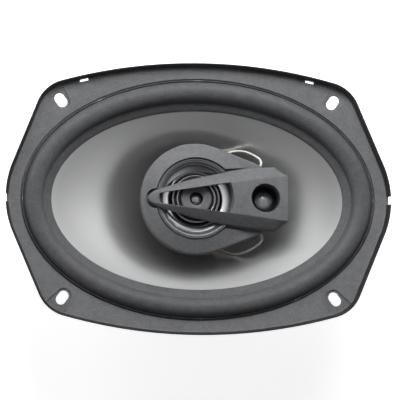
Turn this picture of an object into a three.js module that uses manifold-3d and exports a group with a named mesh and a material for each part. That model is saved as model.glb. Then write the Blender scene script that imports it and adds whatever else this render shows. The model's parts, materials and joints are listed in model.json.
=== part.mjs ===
// Coaxial car speaker, oval 6 x 9 inch class: woofer, mid-range and two tweeters on one axis.
// Millimetres, +Z up. The speaker lies on its magnet with its cone facing up.
// Origin at the centre of the magnet's back plate. +X runs along the oval's long side.
import * as THREE from 'three';
import { mergeVertices } from 'three/addons/utils/BufferGeometryUtils.js';
import Module from 'manifold-3d';

const wasm = await Module();
wasm.setup();
const { Manifold, Mesh } = wasm;

// ---- Driving dimensions ----

// Flange and basket
const overallLength = 237;
const overallWidth = 167;
const mountingDepth = 80; // back plate to the flange's rear face
const sheet = 1.2; // pressed steel of the basket
const lipHeight = 4.8; // flared lip above the flange face
const lipFlare = 1.2; // how far the lip leans outward
const slotWidth = 6.2; // screw slots
const slotLength = 9;
const slotLean = 36 * Math.PI / 180; // slot's long axis from +Y
const spokeWidth = 14;
const cornerRadius = 22.5;
const endRadius = 56;
const crownRadius = 312;

// Cone and surround
const rimMargin = 29; // overall outline to the visible cone edge
const landWidth = 5.2; // flat rubber between the cone edge and the roll
const rollWidth = 12.2;
const rollHeight = 5.6;
const rubber = 0.9;
const coneSheet = 0.7;

// Motor
const yokePlate = 5;
const magnetHeight = 15;
const topPlateHeight = 5;
const magnetRadius = 45;
const plateRadius = 42.5;
const poleRadius = 15;
const gapRadius = 17.4;
const formerRadius = 15.5;
const formerWall = 0.4;
const spiderRadius = 53;
const ledgeRise = 13; // spider ledge above the basket floor

// Mid-range and tweeter unit
const unitX = -1.8; // the unit stands this far off the woofer's axis
const discRadius = 34;
const coverRadius = 31;
const boltRadius = 2.4;
const ringRadius = 24.3; // ribbed trim ring
const bodyRadius = 14.6; // tweeter body
const superX = 42; // super tweeter, from the unit's axis
const superHole = 8.8;
const superDome = 5.6;

// ---- Levels along Z, from the back plate up ----

const magnetZ = yokePlate;
const topPlateZ = magnetZ + magnetHeight;
const floorZ = topPlateZ + topPlateHeight;
const ledgeZ = floorZ + ledgeRise;
const faceZ = mountingDepth + sheet; // flange face
const lipZ = faceZ + lipHeight;
const recessZ = faceZ - 1.2; // ledge that carries the surround
const neckZ = ledgeZ + 8; // cone neck on the voice coil former
const rimZ = faceZ - 4.2; // cone edge
const coverZ = faceZ - 22.7; // rear of the mid-range housing
const motorZ = coverZ + 4.8; // mid-range motor stands here
const shelfZ = faceZ + 2.8; // shelf for the mid-range surround
const discZ = faceZ + 7; // disc face at its inner edge
const channelZ = shelfZ + 1; // floor under the bridge

const coneLength = overallLength / 2 - rimMargin; // half-axes of the cone edge
const coneWidth = overallWidth / 2 - rimMargin + 0.3;
const wallBottom = ledgeZ + 1; // straight basket wall, between these levels
const wallTop = faceZ - 2.6;
const big = 36; // segments round large turned pieces
const mid = 28;
const small = 18;
const tiny = 10;

// ---- Helpers ----

const position = (geometry) => {
  const bare = new THREE.BufferGeometry();
  bare.setAttribute('position', geometry.getAttribute('position').clone());
  if (geometry.index) bare.setIndex(geometry.index.clone());
  return mergeVertices(bare, 1e-4);
};

// A closed solid for boolean work, turned right side out.
function solid(geometry) {
  const welded = position(geometry);
  const corners = Array.from(welded.index.array);
  const kept = [];
  for (let i = 0; i < corners.length; i += 3) {
    const [a, b, c] = corners.slice(i, i + 3);
    if (a !== b && b !== c && c !== a) kept.push(a, b, c);
  }
  const make = (index) => new Manifold(new Mesh({
    numProp: 3,
    vertProperties: Float32Array.from(welded.getAttribute('position').array),
    triVerts: Uint32Array.from(index),
  }));
  const shape = make(kept);
  if (shape.volume() > 0) return shape;
  const flipped = [];
  for (let i = 0; i < kept.length; i += 3) flipped.push(kept[i], kept[i + 2], kept[i + 1]);
  return make(flipped);
}

function geometryOf(shape) {
  const mesh = shape.getMesh();
  const geometry = new THREE.BufferGeometry();
  geometry.setAttribute('position', new THREE.BufferAttribute(Float32Array.from(mesh.vertProperties), 3));
  geometry.setIndex(new THREE.BufferAttribute(Uint32Array.from(mesh.triVerts), 1));
  geometry.computeVertexNormals();
  return geometry;
}

const cut = (shape, ...tools) => tools.reduce((left, tool) => left.subtract(tool), shape);
const join = (shape, ...more) => more.reduce((left, other) => left.add(other), shape);

// A turned piece from [radius, z] points. It closes on itself, or on the axis.
function turned(points, segments, x = 0, y = 0) {
  const profile = points.map(([r, z]) => new THREE.Vector2(r, z));
  const last = points[points.length - 1];
  if (points[0][0] > 0 || last[0] > 0) profile.push(profile[0].clone());
  const geometry = new THREE.LatheGeometry(profile, segments);
  geometry.rotateX(Math.PI / 2);
  geometry.translate(x, y, 0);
  return solid(geometry);
}

const tube = (inner, outer, z0, z1, segments, x = 0, y = 0) => turned(
  [[inner, z0], [outer, z0], [outer, z1], [inner, z1]], segments, x, y);

const disc = (radius, z0, z1, segments, x = 0, y = 0) => turned(
  [[0, z0], [radius, z0], [radius, z1], [0, z1]], segments, x, y);

function box(x0, x1, y0, y1, z0, z1) {
  const geometry = new THREE.BoxGeometry(x1 - x0, y1 - y0, z1 - z0);
  geometry.translate((x0 + x1) / 2, (y0 + y1) / 2, (z0 + z1) / 2);
  return solid(geometry);
}

function extruded(shape, z0, z1, curveSegments = 8) {
  const geometry = new THREE.ExtrudeGeometry(shape, { depth: z1 - z0, bevelEnabled: false, curveSegments });
  geometry.translate(0, 0, z0);
  return solid(geometry);
}

// Skins a list of rings that all have the same number of points. A loop of rings
// closes on itself; an open run of rings is capped at both ends.
function lofted(rings, loop) {
  const count = rings[0].length;
  const corners = rings.flat();
  const index = [];
  const runs = loop ? rings.length : rings.length - 1;
  for (let r = 0; r < runs; r++) {
    const next = (r + 1) % rings.length;
    for (let i = 0; i < count; i++) {
      const j = (i + 1) % count;
      const [a, b] = [r * count + i, r * count + j];
      const [c, d] = [next * count + j, next * count + i];
      index.push(a, b, c, a, c, d);
    }
  }
  if (!loop) {
    for (const [start, flip] of [[0, true], [(rings.length - 1) * count, false]]) {
      for (let i = 1; i < count - 1; i++) {
        const [b, c] = flip ? [start + i + 1, start + i] : [start + i, start + i + 1];
        index.push(start, b, c);
      }
    }
  }
  const geometry = new THREE.BufferGeometry().setFromPoints(corners);
  geometry.setIndex(index);
  return solid(geometry);
}

const group = new THREE.Group();
group.name = 'coaxial_speaker';

function add(name, shape, color, roughness, metalness) {
  const material = new THREE.MeshStandardMaterial({ color, roughness, metalness });
  material.name = name;
  const mesh = new THREE.Mesh(shape.isBufferGeometry ? shape : geometryOf(shape), material);
  mesh.name = name;
  group.add(mesh);
  return mesh;
}

// ---- Outlines ----

// The flange outline, drawn in by an inset: two crowned long sides, two round ends,
// four corners, and straight flanks tangent to an end and a corner.
function flangeOutline(inset) {
  const cornerX = 0.6565 * overallLength / 2;
  const crownY = overallWidth / 2 - crownRadius;
  const cornerY = crownY + Math.sqrt((crownRadius - cornerRadius) ** 2 - cornerX ** 2);
  const endX = overallLength / 2 - endRadius;
  const run = Math.hypot(cornerX - endX, cornerY);
  const flank = Math.atan2(cornerY, cornerX - endX) - Math.acos((endRadius - cornerRadius) / run);
  const crown = Math.atan2(cornerY - crownY, cornerX);
  const at = (x, y, radius, angle) => new THREE.Vector2(
    x + (radius - inset) * Math.cos(angle), y + (radius - inset) * Math.sin(angle));
  const quarter = [];
  for (let i = 0; i <= 2; i++) quarter.push(at(endX, 0, endRadius, flank * i / 2));
  const from = quarter[2];
  const to = at(cornerX, cornerY, cornerRadius, flank);
  quarter.push(from.clone().lerp(to, 0.5));
  for (let i = 0; i <= 4; i++) {
    quarter.push(at(cornerX, cornerY, cornerRadius, flank + (crown - flank) * i / 4));
  }
  for (let i = 1; i <= 5; i++) {
    quarter.push(at(0, crownY, crownRadius, crown + (Math.PI / 2 - crown) * i / 5));
  }
  const back = quarter.slice(0, -1).reverse();
  const upper = [...quarter, ...back.map((p) => new THREE.Vector2(-p.x, p.y))];
  const lower = upper.slice(1, -1).reverse().map((p) => new THREE.Vector2(p.x, -p.y));
  return [...upper, ...lower];
}

const bearings = flangeOutline(0).map((p) => Math.atan2(p.y, p.x));

const flangeRing = (inset, z) => flangeOutline(inset).map((p) => new THREE.Vector3(p.x, p.y, z));

// A ring on an ellipse, at the same bearings as the flange's points.
const ovalRing = (a, b, z) => bearings.map((angle) => {
  const r = a * b / Math.hypot(b * Math.cos(angle), a * Math.sin(angle));
  return new THREE.Vector3(r * Math.cos(angle), r * Math.sin(angle), z);
});

const rimRing = (grow, z) => ovalRing(coneLength + grow, coneWidth + grow, z);
const roundRing = (radius, z) => ovalRing(radius, radius, z);

// The basket wall runs straight from the spider ledge to the flange recess.
function wallRing(t, offset) {
  const a = THREE.MathUtils.lerp(spiderRadius + 1.5, coneLength + 15.8, t) + offset;
  const b = THREE.MathUtils.lerp(spiderRadius + 1.5, coneWidth + 15.8, t) + offset;
  return ovalRing(a, b, THREE.MathUtils.lerp(wallBottom, wallTop, t));
}

// ---- Basket ----

const stepTop = ledgeZ - sheet;
const rear = [
  flangeRing(0, lipZ),
  flangeRing(lipFlare, mountingDepth + 1.6),
  flangeRing(lipFlare + 1.4, mountingDepth),
  rimRing(20.4, mountingDepth),
  rimRing(19.9, recessZ - sheet),
  wallRing(1, 1.2),
  wallRing(0, 1.2),
  roundRing(spiderRadius + 1.8, stepTop + 0.6),
  roundRing(spiderRadius - 5.4, stepTop),
  roundRing(spiderRadius - 8.4, floorZ),
  roundRing(24, floorZ),
];
const front = [
  roundRing(24, floorZ + sheet),
  roundRing(spiderRadius - 9.7, floorZ + sheet),
  roundRing(spiderRadius - 6.6, ledgeZ),
  roundRing(spiderRadius + 0.6, ledgeZ),
  wallRing(0, 0),
  rimRing(15.2, recessZ),
  rimRing(19, recessZ),
  rimRing(19.2, faceZ),
  flangeRing(lipFlare + 2.4, faceZ),
  flangeRing(lipFlare + 1.1, faceZ + 1.6),
  flangeRing(1.1, lipZ),
];
let basket = lofted([...rear, ...front], true);

// Windows between eight spokes.
const windowBase = wallBottom + 4;
const windowTop = wallTop - 6;
for (let i = 0; i < 8; i++) {
  const apex = spokeWidth / 2 / Math.sin(Math.PI / 8);
  const wedge = new THREE.Shape();
  const reach = overallLength;
  wedge.moveTo(apex, 0);
  wedge.lineTo(apex + reach * Math.cos(Math.PI / 8), -reach * Math.sin(Math.PI / 8));
  wedge.lineTo(apex + reach * Math.cos(Math.PI / 8), reach * Math.sin(Math.PI / 8));
  const tool = extruded(wedge, windowBase, windowTop);
  basket = cut(basket, tool.rotate([0, 0, 22.5 + 45 * i]));
}

// Screw slots, each in a shallow pressed pad that runs out to the lip's foot.
const padMargin = 1.4;
const padRun = 1.5; // the pad's middle lies this far outside the slot's
const slotX = overallLength / 2 - 34.9;
const slotY = overallWidth / 2 - 23.1;
function slotShape(width, length) {
  const half = (length - width) / 2;
  const shape = new THREE.Shape();
  shape.moveTo(width / 2, -half);
  shape.lineTo(width / 2, half);
  shape.absarc(0, half, width / 2, 0, Math.PI, false);
  shape.lineTo(-width / 2, -half);
  shape.absarc(0, -half, width / 2, Math.PI, 2 * Math.PI, false);
  return shape;
}
for (const sx of [-1, 1]) {
  for (const sy of [-1, 1]) {
    const lean = -sx * sy * slotLean * 180 / Math.PI;
    const place = (shape) => shape.rotate([0, 0, lean]).translate([sx * slotX, sy * slotY, 0]);
    const slot = place(extruded(slotShape(slotWidth, slotLength), mountingDepth - 1, faceZ + 1, 4));
    const padShape = slotShape(slotWidth + 2 * padMargin, slotLength + 2 * padMargin + padRun);
    const pad = place(extruded(padShape, faceZ - 0.4, faceZ + 0.3, 4).translate([0, sy * padRun / 2, 0]));
    basket = cut(basket, slot, pad);
    if (sy < 0) continue;
    // See-through slots in the upper lip's foot, for a grille's clips.
    const clip = box(-2.6, 2.6, -0.65, 0.65, mountingDepth - 1, lipZ + 1)
      .rotate([0, 0, -sx * sy * 12.8])
      .translate([sx * 0.585 * overallLength / 2, sy * (overallWidth / 2 - 10.7), 0]);
    basket = cut(basket, clip);
  }
  const edge = sx * overallLength / 2;
  basket = cut(basket, box(edge - 3.2, edge + 3.2, -2.5, 2.5, faceZ + 0.6, lipZ + 1));
}

// Four rivets hold the basket's floor to the top plate.
const rivetCircle = 34;
const rivetSpots = [45, 135, 225, 315].map((degrees) => {
  const angle = degrees * Math.PI / 180;
  return [rivetCircle * Math.cos(angle), rivetCircle * Math.sin(angle)];
});
const rivetHoles = rivetSpots.map(([x, y]) => disc(1.7, topPlateZ + 1, floorZ + 3, tiny, x, y));
basket = cut(basket, ...rivetHoles);
add('basket', basket, 0x6f7174, 0.5, 0.3);

rivetSpots.forEach(([x, y], i) => {
  const profile = [[0, floorZ - 3.5], [1.6, floorZ - 3.5], [1.6, floorZ + sheet], [3.2, floorZ + sheet],
    [2.2, floorZ + sheet + 1.3], [0, floorZ + sheet + 1.3]];
  add('basket_rivet_' + (i + 1), turned(profile, tiny, x, y), 0x9b9da0, 0.35, 0.9);
});

// ---- Woofer motor ----

const topPlate = cut(tube(gapRadius, plateRadius, topPlateZ, floorZ, big), ...rivetHoles);
add('top_plate', topPlate, 0x8f9194, 0.4, 0.9);
add('magnet', tube(22.5, magnetRadius, magnetZ, topPlateZ, big), 0x2e2f31, 0.75, 0.1);
const boltHead = 3.4;
add('t_yoke', turned([[boltRadius + 0.3, boltHead], [5.6, boltHead], [5.6, 0], [plateRadius - 1.2, 0],
  [plateRadius, 1.2], [plateRadius, yokePlate], [poleRadius, yokePlate], [poleRadius, floorZ],
  [boltRadius + 0.3, floorZ]], big), 0x8f9194, 0.4, 0.9);

// ---- Moving cone assembly ----

const formerOuter = formerRadius + formerWall;
const gapCentre = topPlateZ + topPlateHeight / 2;
const coilHalf = 6;
add('voice_coil_former', tube(formerRadius, formerOuter, gapCentre - 9, neckZ + 0.6, big), 0xc8b48a, 0.5, 0.1);
add('voice_coil_winding', tube(formerOuter, formerOuter + 0.7, gapCentre - coilHalf, gapCentre + coilHalf, big),
  0xa0602a, 0.4, 0.8);
add('dust_ring', tube(9, formerOuter, neckZ + 0.6, neckZ + 1.4, big), 0x1c1c1e, 0.9, 0);

// The cone flares: its slope falls from the neck to the rim.
const flare = 0.6;
const coneRise = (t) => (1 + flare) * t - flare * t * t;
const neckRadius = formerOuter + 0.1;
const coneFront = (t) => THREE.MathUtils.lerp(neckZ, rimZ, coneRise(t)); // height, t from neck to rim
const landRise = 1.5; // the surround's inner land climbs this far, and the cone's edge with it
const coneOverlap = 4;
const coneRings = (lift) => {
  const rings = [];
  for (let i = 0; i <= 4; i++) {
    const t = i / 4;
    const a = THREE.MathUtils.lerp(neckRadius, coneLength, t);
    const b = THREE.MathUtils.lerp(neckRadius, coneWidth, t);
    rings.push(ovalRing(a, b, coneFront(t) + lift));
  }
  rings.push(rimRing(coneOverlap, rimZ + landRise * coneOverlap / landWidth + lift));
  return rings;
};
const coneShape = lofted([...coneRings(-coneSheet), ...coneRings(0).reverse()], true);

// Two eyelets through the cone take the leads.
const eyeletX = 13;
const eyeletY = 27.5;
const eyeletReach = Math.hypot(eyeletX, eyeletY);
const eyeletBearing = Math.atan2(eyeletY, eyeletX);
const rimReach = coneLength * coneWidth
  / Math.hypot(coneWidth * Math.cos(eyeletBearing), coneLength * Math.sin(eyeletBearing));
const coneAt = (reach) => coneFront((reach - neckRadius) / (rimReach - neckRadius));
const eyeletZ = coneAt(eyeletReach) - 0.8;
const eyeletSeat = coneAt(eyeletReach + 2.4); // the head clears the cone's slope
const eyeletHoles = [1, -1].map((side) => disc(1.7, eyeletZ - 6, eyeletZ + 6, 12, eyeletX, side * eyeletY));
add('woofer_cone', cut(coneShape, ...eyeletHoles), 0xb9bbbd, 0.2, 0.75);
['upper', 'lower'].forEach((name, i) => {
  const y = (i ? -1 : 1) * eyeletY;
  const profile = [[0, eyeletZ - 3.4], [1.4, eyeletZ - 3.4], [1.4, eyeletSeat], [2.2, eyeletSeat],
    [1.9, eyeletSeat + 0.8], [0, eyeletSeat + 0.8]];
  add('cone_eyelet_' + name, turned(profile, 12, eyeletX, y), 0xb59a55, 0.3, 0.9);
});

// Rubber surround: inner land on the cone's edge, half roll, outer land on the recess.
const surroundBase = rimZ + landRise + 0.1;
const outerLand = landWidth + rollWidth + 1.4;
function surroundRings(lift) {
  const rings = [rimRing(0, rimZ + 0.1 + lift), rimRing(landWidth, surroundBase + lift)];
  for (let i = 1; i < 5; i++) {
    const angle = Math.PI * i / 5;
    const grow = landWidth + rollWidth / 2 * (1 - Math.cos(angle));
    const base = THREE.MathUtils.lerp(surroundBase, recessZ, i / 5);
    rings.push(rimRing(grow, base + rollHeight * Math.sin(angle) + lift));
  }
  rings.push(rimRing(landWidth + rollWidth, recessZ + lift), rimRing(outerLand, recessZ + lift));
  return rings;
}
add('surround', lofted([...surroundRings(0), ...surroundRings(rubber).reverse()], true), 0x4a4b4d, 0.6, 0);

// Spider: a corrugated cloth disc from the ledge to the former.
const spiderWaves = 3;
function spiderProfile(lift) {
  const points = [[spiderRadius, ledgeZ + lift], [spiderRadius - 5, ledgeZ + lift]];
  const inner = formerOuter + 3;
  const step = (spiderRadius - 6 - inner) / (2 * spiderWaves);
  for (let i = 0; i < 2 * spiderWaves; i++) {
    points.push([spiderRadius - 6 - step * (i + 0.5), ledgeZ + lift + (i % 2 ? 0 : 1.8)]);
  }
  points.push([inner, ledgeZ + 0.9 + lift], [formerOuter + 0.15, ledgeZ + 0.9 + lift]);
  return points;
}
add('spider', turned([...spiderProfile(0), ...spiderProfile(0.6).reverse()], mid), 0xb38a3c, 0.9, 0);

// ---- Terminals and rear leads ----

const boardX = spiderRadius - 5.4 + 0.6; // just outside the basket's step
const boardZ = floorZ + 5.5;
const board = cut(box(boardX - 2, boardX + 2, -11, 11, boardZ - 4.5, boardZ + 5.5),
  disc(spiderRadius - 5.1, boardZ - 6, boardZ + 8, big));
const terminalSpots = [-6, 6];
const boardRivetSpots = [-1.6, 1.6];
add('terminal_board', board, 0x8a5a33, 0.8, 0);
terminalSpots.forEach((y, i) => {
  const half = i ? 3.15 : 2.4; // the positive blade is the wider one
  const blade = new THREE.Shape();
  const face = boardX + 2;
  blade.moveTo(face, boardZ + 4);
  blade.lineTo(face, boardZ - 3.5);
  blade.lineTo(face + 12, boardZ - 3.5);
  blade.lineTo(face + 12, boardZ - 2.7);
  blade.lineTo(face + 0.8, boardZ - 2.7);
  blade.lineTo(face + 0.8, boardZ + 4);
  const geometry = new THREE.ExtrudeGeometry(blade, { depth: 2 * half, bevelEnabled: false });
  geometry.rotateX(Math.PI / 2);
  geometry.translate(0, y + half, 0);
  add(i ? 'terminal_positive' : 'terminal_negative', solid(geometry), 0xb8b9bb, 0.35, 0.9);
});
boardRivetSpots.forEach((y, i) => {
  const geometry = new THREE.CylinderGeometry(0.9, 1.3, 1, 12);
  geometry.rotateZ(-Math.PI / 2);
  geometry.translate(boardX + 2.5, y, boardZ + 1.5);
  add('board_rivet_' + (i + 1), solid(geometry), 0x9b9da0, 0.35, 0.9);
});

function lead(name, points, radius, color) {
  const curve = new THREE.CatmullRomCurve3(points.map(([x, y, z]) => new THREE.Vector3(x, y, z)));
  const section = new THREE.Shape();
  for (let i = 0; i < 8; i++) {
    const angle = Math.PI / 4 * i;
    const [x, y] = [radius * Math.cos(angle), radius * Math.sin(angle)];
    if (i) section.lineTo(x, y);
    else section.moveTo(x, y);
  }
  const geometry = new THREE.ExtrudeGeometry(section, { steps: 18, extrudePath: curve, bevelEnabled: false });
  add(name, solid(geometry), color, 0.45, 0.6);
}
// Where the basket wall passes the windows' sill, at the end spoke.
const sillX = THREE.MathUtils.lerp(spiderRadius + 1.5, coneLength + 15.8,
  (windowBase - wallBottom) / (wallTop - wallBottom)) + sheet;
for (const side of [1, -1]) {
  const start = boardX + 3.2;
  lead(side > 0 ? 'rear_lead_positive' : 'rear_lead_negative', [
    [start, side * 6, boardZ + 4.6],
    [start + 5, side * 8, boardZ + 7],
    [sillX + 2.5, side * 12, windowBase + 3],
    [start + 2, side * 17, boardZ + 21],
    [30, side * 25, eyeletZ - 7.5],
    [17, side * 28.5, eyeletZ - 7.5],
    [eyeletX, side * eyeletY, eyeletZ - 5.5],
    [eyeletX, side * eyeletY, eyeletZ - 3.45],
  ], 0.8, 0xb0a68c);
}

// ---- Centre post ----

add('center_post', tube(boltRadius + 0.3, 7.5, floorZ, coverZ, small), 0x2a2b2d, 0.6, 0);
add('post_bolt', turned([[0, boltHead - 2.8], [4.8, boltHead - 2.8], [4.8, boltHead], [boltRadius, boltHead],
  [boltRadius, coverZ + 4.6], [0, coverZ + 4.6]], small), 0x9b9da0, 0.35, 0.9);
const nut = cut(disc(4.7, coverZ + 1.6, coverZ + 4.4, 6), disc(boltRadius + 0.1, coverZ, coverZ + 6, small));
add('post_nut', nut, 0x9b9da0, 0.35, 0.9);

// ---- Mid-range unit ----

const turnedUnit = (points, segments) => turned(points, segments, unitX);
const tubeUnit = (inner, outer, z0, z1, segments) => tube(inner, outer, z0, z1, segments, unitX);
const discUnit = (radius, z0, z1, segments) => disc(radius, z0, z1, segments, unitX);

const coverSlope = 12.4; // height of the cover's slanted part, clear of the cone at full travel
const cover = turnedUnit([[6, coverZ], [18, coverZ], [coverRadius, coverZ + coverSlope], [coverRadius, shelfZ],
  [coverRadius - 1.6, shelfZ], [coverRadius - 1.6, coverZ + coverSlope + 1], [17.4, coverZ + 1.6], [15.5, coverZ + 1.6],
  [15.5, motorZ], [12, motorZ], [12, coverZ + 1.6], [6, coverZ + 1.6]], mid);
const coverFloor = cut(disc(7.9, coverZ, coverZ + 1.6, small), disc(boltRadius + 0.3, coverZ - 1, coverZ + 3, small));
add('mid_rear_cover', join(cover, coverFloor), 0x2b2c2e, 0.6, 0);

// The disc: a shallow cone round the mid-range, drawn out to the right into an arm
// that carries the bridge. It is open in the middle and hollow underneath.
const armX = 41;
const armY = 20.7;
function teardrop(inset) {
  const radius = discRadius - inset;
  const reach = Math.hypot(armX, armY);
  const tangent = Math.atan2(armY - inset, armX) + Math.acos(discRadius / reach);
  const shape = new THREE.Shape();
  shape.moveTo(armX - inset, -(armY - inset));
  shape.lineTo(armX - inset, armY - inset);
  shape.absarc(0, 0, radius, tangent, 2 * Math.PI - tangent, false);
  return shape;
}
const armSlope = 0.17; // fall of the disc face per millimetre outward
const discOuterZ = discZ - armSlope * (discRadius - ringRadius);
const faceCone = turned([[0, shelfZ - 8], [discRadius + 40, shelfZ - 8], [discRadius + 40, shelfZ],
  [discRadius + 16, discOuterZ - armSlope * 10], [ringRadius, discZ], [0, discZ]], big);
let baffle = extruded(teardrop(0), shelfZ - 4, discZ + 1, 16).intersect(faceCone);
baffle = cut(baffle, extruded(teardrop(1.8), shelfZ - 5, shelfZ, 16));
const channel = new THREE.Shape();
channel.moveTo(16, -18.2);
channel.lineTo(armX + 2, -armY + 0.1);
channel.lineTo(armX + 2, armY - 0.1);
channel.lineTo(16, 18.2);
channel.lineTo(0, 0);
const tipX = -24.8;
baffle = cut(baffle,
  disc(21.9, shelfZ - 5, discZ + 2, mid),
  disc(ringRadius + 0.2, shelfZ + 0.8, discZ + 2, mid),
  extruded(channel, channelZ, discZ + 2),
  disc(5.4, channelZ, discZ + 2, small, tipX, 0),
  disc(11.4, shelfZ - 6, discZ + 2, mid, superX, 0));
const screwX = 33;
const screwY = 11;
const screwSides = [1, -1];
baffle = cut(baffle, ...screwSides.map((side) => disc(1.5, shelfZ - 2, discZ, 12, screwX, side * screwY)));
add('mid_baffle', baffle.translate([unitX, 0, 0]), 0x6a6c6f, 0.55, 0.1);

add('mid_surround', turnedUnit([[20.2, shelfZ + 0.1], [20.6, shelfZ + 0.1], [21.2, shelfZ + 1.1],
  [21.9, shelfZ + 0.8], [23.4, shelfZ + 0.8], [23.4, shelfZ + 1.2], [21.9, shelfZ + 1.2],
  [21.2, shelfZ + 1.6], [20.2, shelfZ + 0.5]], mid), 0x18181a, 0.8, 0);
add('mid_trim_ring', tubeUnit(22, ringRadius, shelfZ + 1.2, shelfZ + 3.2, mid), 0x5c5e61, 0.35, 0.4);

const poleTop = motorZ + 12.2;
const boreRadius = 3;
add('mid_yoke', turnedUnit([[boreRadius, motorZ], [19.5, motorZ], [19.5, motorZ + 2.5], [8, motorZ + 2.5],
  [8, poleTop], [boreRadius, poleTop]], 24), 0x8f9194, 0.4, 0.9);
add('mid_magnet', tubeUnit(11.5, 19.5, motorZ + 2.5, motorZ + 9, 24), 0x2e2f31, 0.75, 0.1);
add('mid_top_plate', tubeUnit(9.7, 19.5, motorZ + 9, poleTop, 24), 0x8f9194, 0.4, 0.9);

const midNeckZ = poleTop + 1.4;
add('mid_voice_coil', turnedUnit([[8.4, motorZ + 7], [8.7, motorZ + 7], [8.7, motorZ + 8.2],
  [9.2, motorZ + 8.2], [9.2, motorZ + 13], [8.7, motorZ + 13], [8.7, midNeckZ], [8.4, midNeckZ]], 24),
  0xa0602a, 0.4, 0.6);
add('mid_cone', turnedUnit([[8.78, midNeckZ - 0.6], [20.4, shelfZ - 0.4], [20.4, shelfZ + 0.1],
  [8.78, midNeckZ - 0.1]], mid), 0xc0c2c5, 0.2, 0.8);

for (const [name, degrees] of [['mid_capacitor', 130], ['tweeter_capacitor', 230]]) {
  const angle = degrees * Math.PI / 180;
  const [x, y] = [unitX + 25.9 * Math.cos(angle), 25.9 * Math.sin(angle)];
  add(name, disc(3.2, coverZ + coverSlope + 1.2, coverZ + 24.6, 14, x, y), 0x23406b, 0.4, 0.1);
}

// ---- Tweeter on the mid-range's pole ----

const bodyZ = shelfZ; // top of the tweeter body's rim
add('tweeter_body', turnedUnit([[0, motorZ + 3], [boreRadius - 0.1, motorZ + 3], [boreRadius - 0.1, poleTop + 1.1],
  [7.4, poleTop + 1.1], [7.4, bodyZ - 4.6], [bodyRadius, bodyZ - 1.8], [bodyRadius, bodyZ],
  [12.1, bodyZ], [12.1, bodyZ + 1.4], [6.4, bodyZ + 1.4], [6.4, poleTop + 2.3], [0, poleTop + 2.3]], mid),
  0x151516, 0.5, 0.1);
add('tweeter_trim_outer', tubeUnit(13.6, bodyRadius, bodyZ, bodyZ + 0.5, mid), 0xd8d9db, 0.2, 0.9);
add('tweeter_trim_inner', tubeUnit(11.2, 11.9, bodyZ + 1.4, bodyZ + 1.8, mid), 0xd8d9db, 0.2, 0.9);
add('tweeter_face', turnedUnit([[4, bodyZ + 1.4], [9.3, bodyZ + 1.4], [9.3, bodyZ + 2.6], [8.6, bodyZ + 3],
  [4.6, bodyZ + 3], [4, bodyZ + 2.4]], mid), 0x66686b, 0.45, 0.2);

const cupZ = poleTop + 2.3;
add('tweeter_yoke', turnedUnit([[0, cupZ], [6.1, cupZ], [6.1, cupZ + 4.2], [4.2, cupZ + 4.2], [4.2, cupZ + 1.2],
  [0, cupZ + 1.2]], small), 0x8f9194, 0.4, 0.9);
add('tweeter_magnet', discUnit(2.7, cupZ + 1.2, cupZ + 3.9, small), 0xa9abad, 0.35, 0.8);
add('tweeter_suspension', tubeUnit(3.4, 5.9, cupZ + 4.2, cupZ + 4.5, small), 0x1c1c1e, 0.8, 0);

// A dome of the given radius and height on a short coil.
function dome(radius, height, z, coil, segments, x) {
  const steps = 3;
  const skin = 0.3;
  const points = [];
  for (let i = 0; i <= steps; i++) {
    const angle = Math.PI / 2 * i / steps;
    points.push([radius * Math.cos(angle), z + height * Math.sin(angle)]);
  }
  points[steps][0] = 0;
  const under = [];
  for (let i = 0; i <= steps; i++) {
    const angle = Math.PI / 2 * i / steps;
    under.push([(radius - skin) * Math.cos(angle), z + (height - skin) * Math.sin(angle)]);
  }
  under[steps][0] = 0;
  return turned([...under.reverse(), [radius - skin, z - coil], [radius, z - coil], ...points], segments, x);
}
add('tweeter_dome', dome(3.4, 1.6, cupZ + 4.5, 2.4, small, unitX), 0xcfd0d2, 0.2, 0.9);

// ---- Bridge and super tweeter ----

// Half-widths of the bridge's foot and of its face, from the unit's axis.
const footHalf = (x) => 5 + 0.348 * (x - tipX) - 0.00212 * (x - tipX) ** 2;
const faceHalf = (x) => 3.4 + 0.1333 * (x - tipX);
const bridgeEnd = 55.6;
const flankZ = channelZ + 2.9;
const flankRise = 0.7;
const chamferX = bridgeEnd - 7.2;

function bridgeRing(x) {
  const endTaper = Math.max(x - chamferX, 0) / (bridgeEnd - chamferX);
  const tipTaper = Math.min(1, Math.sqrt(Math.max(1 - ((tipX - x) / 4.8) ** 2, 0.02)));
  const round = x < tipX ? tipTaper : 1;
  const foot = THREE.MathUtils.lerp(footHalf(x), faceHalf(x) + 0.3, endTaper) * round;
  const face = Math.min(x < tipX ? faceHalf(tipX) * round : faceHalf(x), foot - 0.2);
  const flank = x < tipX ? footHalf(tipX) - faceHalf(tipX) : footHalf(x) - faceHalf(x);
  const top = flankZ + flankRise * Math.min(flank, 7.2);
  const skirt = foot + 1.2 * THREE.MathUtils.clamp((x - tipX) / 40, 0, 1) * (1 - endTaper) + 0.05;
  const side = [[skirt, channelZ], [skirt, channelZ + 1], [foot, channelZ + 1.3], [foot, flankZ], [face, top]];
  const left = side.map(([y, z]) => new THREE.Vector3(x, y, z));
  const right = side.slice().reverse().map(([y, z]) => new THREE.Vector3(x, -y, z));
  return [...left, ...right];
}
const bridgeStations = [tipX - 4.6, tipX - 3.6, tipX - 1.8, tipX];
for (let i = 1; i <= 6; i++) bridgeStations.push(THREE.MathUtils.lerp(tipX, chamferX, i / 6));
bridgeStations.push(bridgeEnd);
let bridge = lofted(bridgeStations.map(bridgeRing), false);

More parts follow.
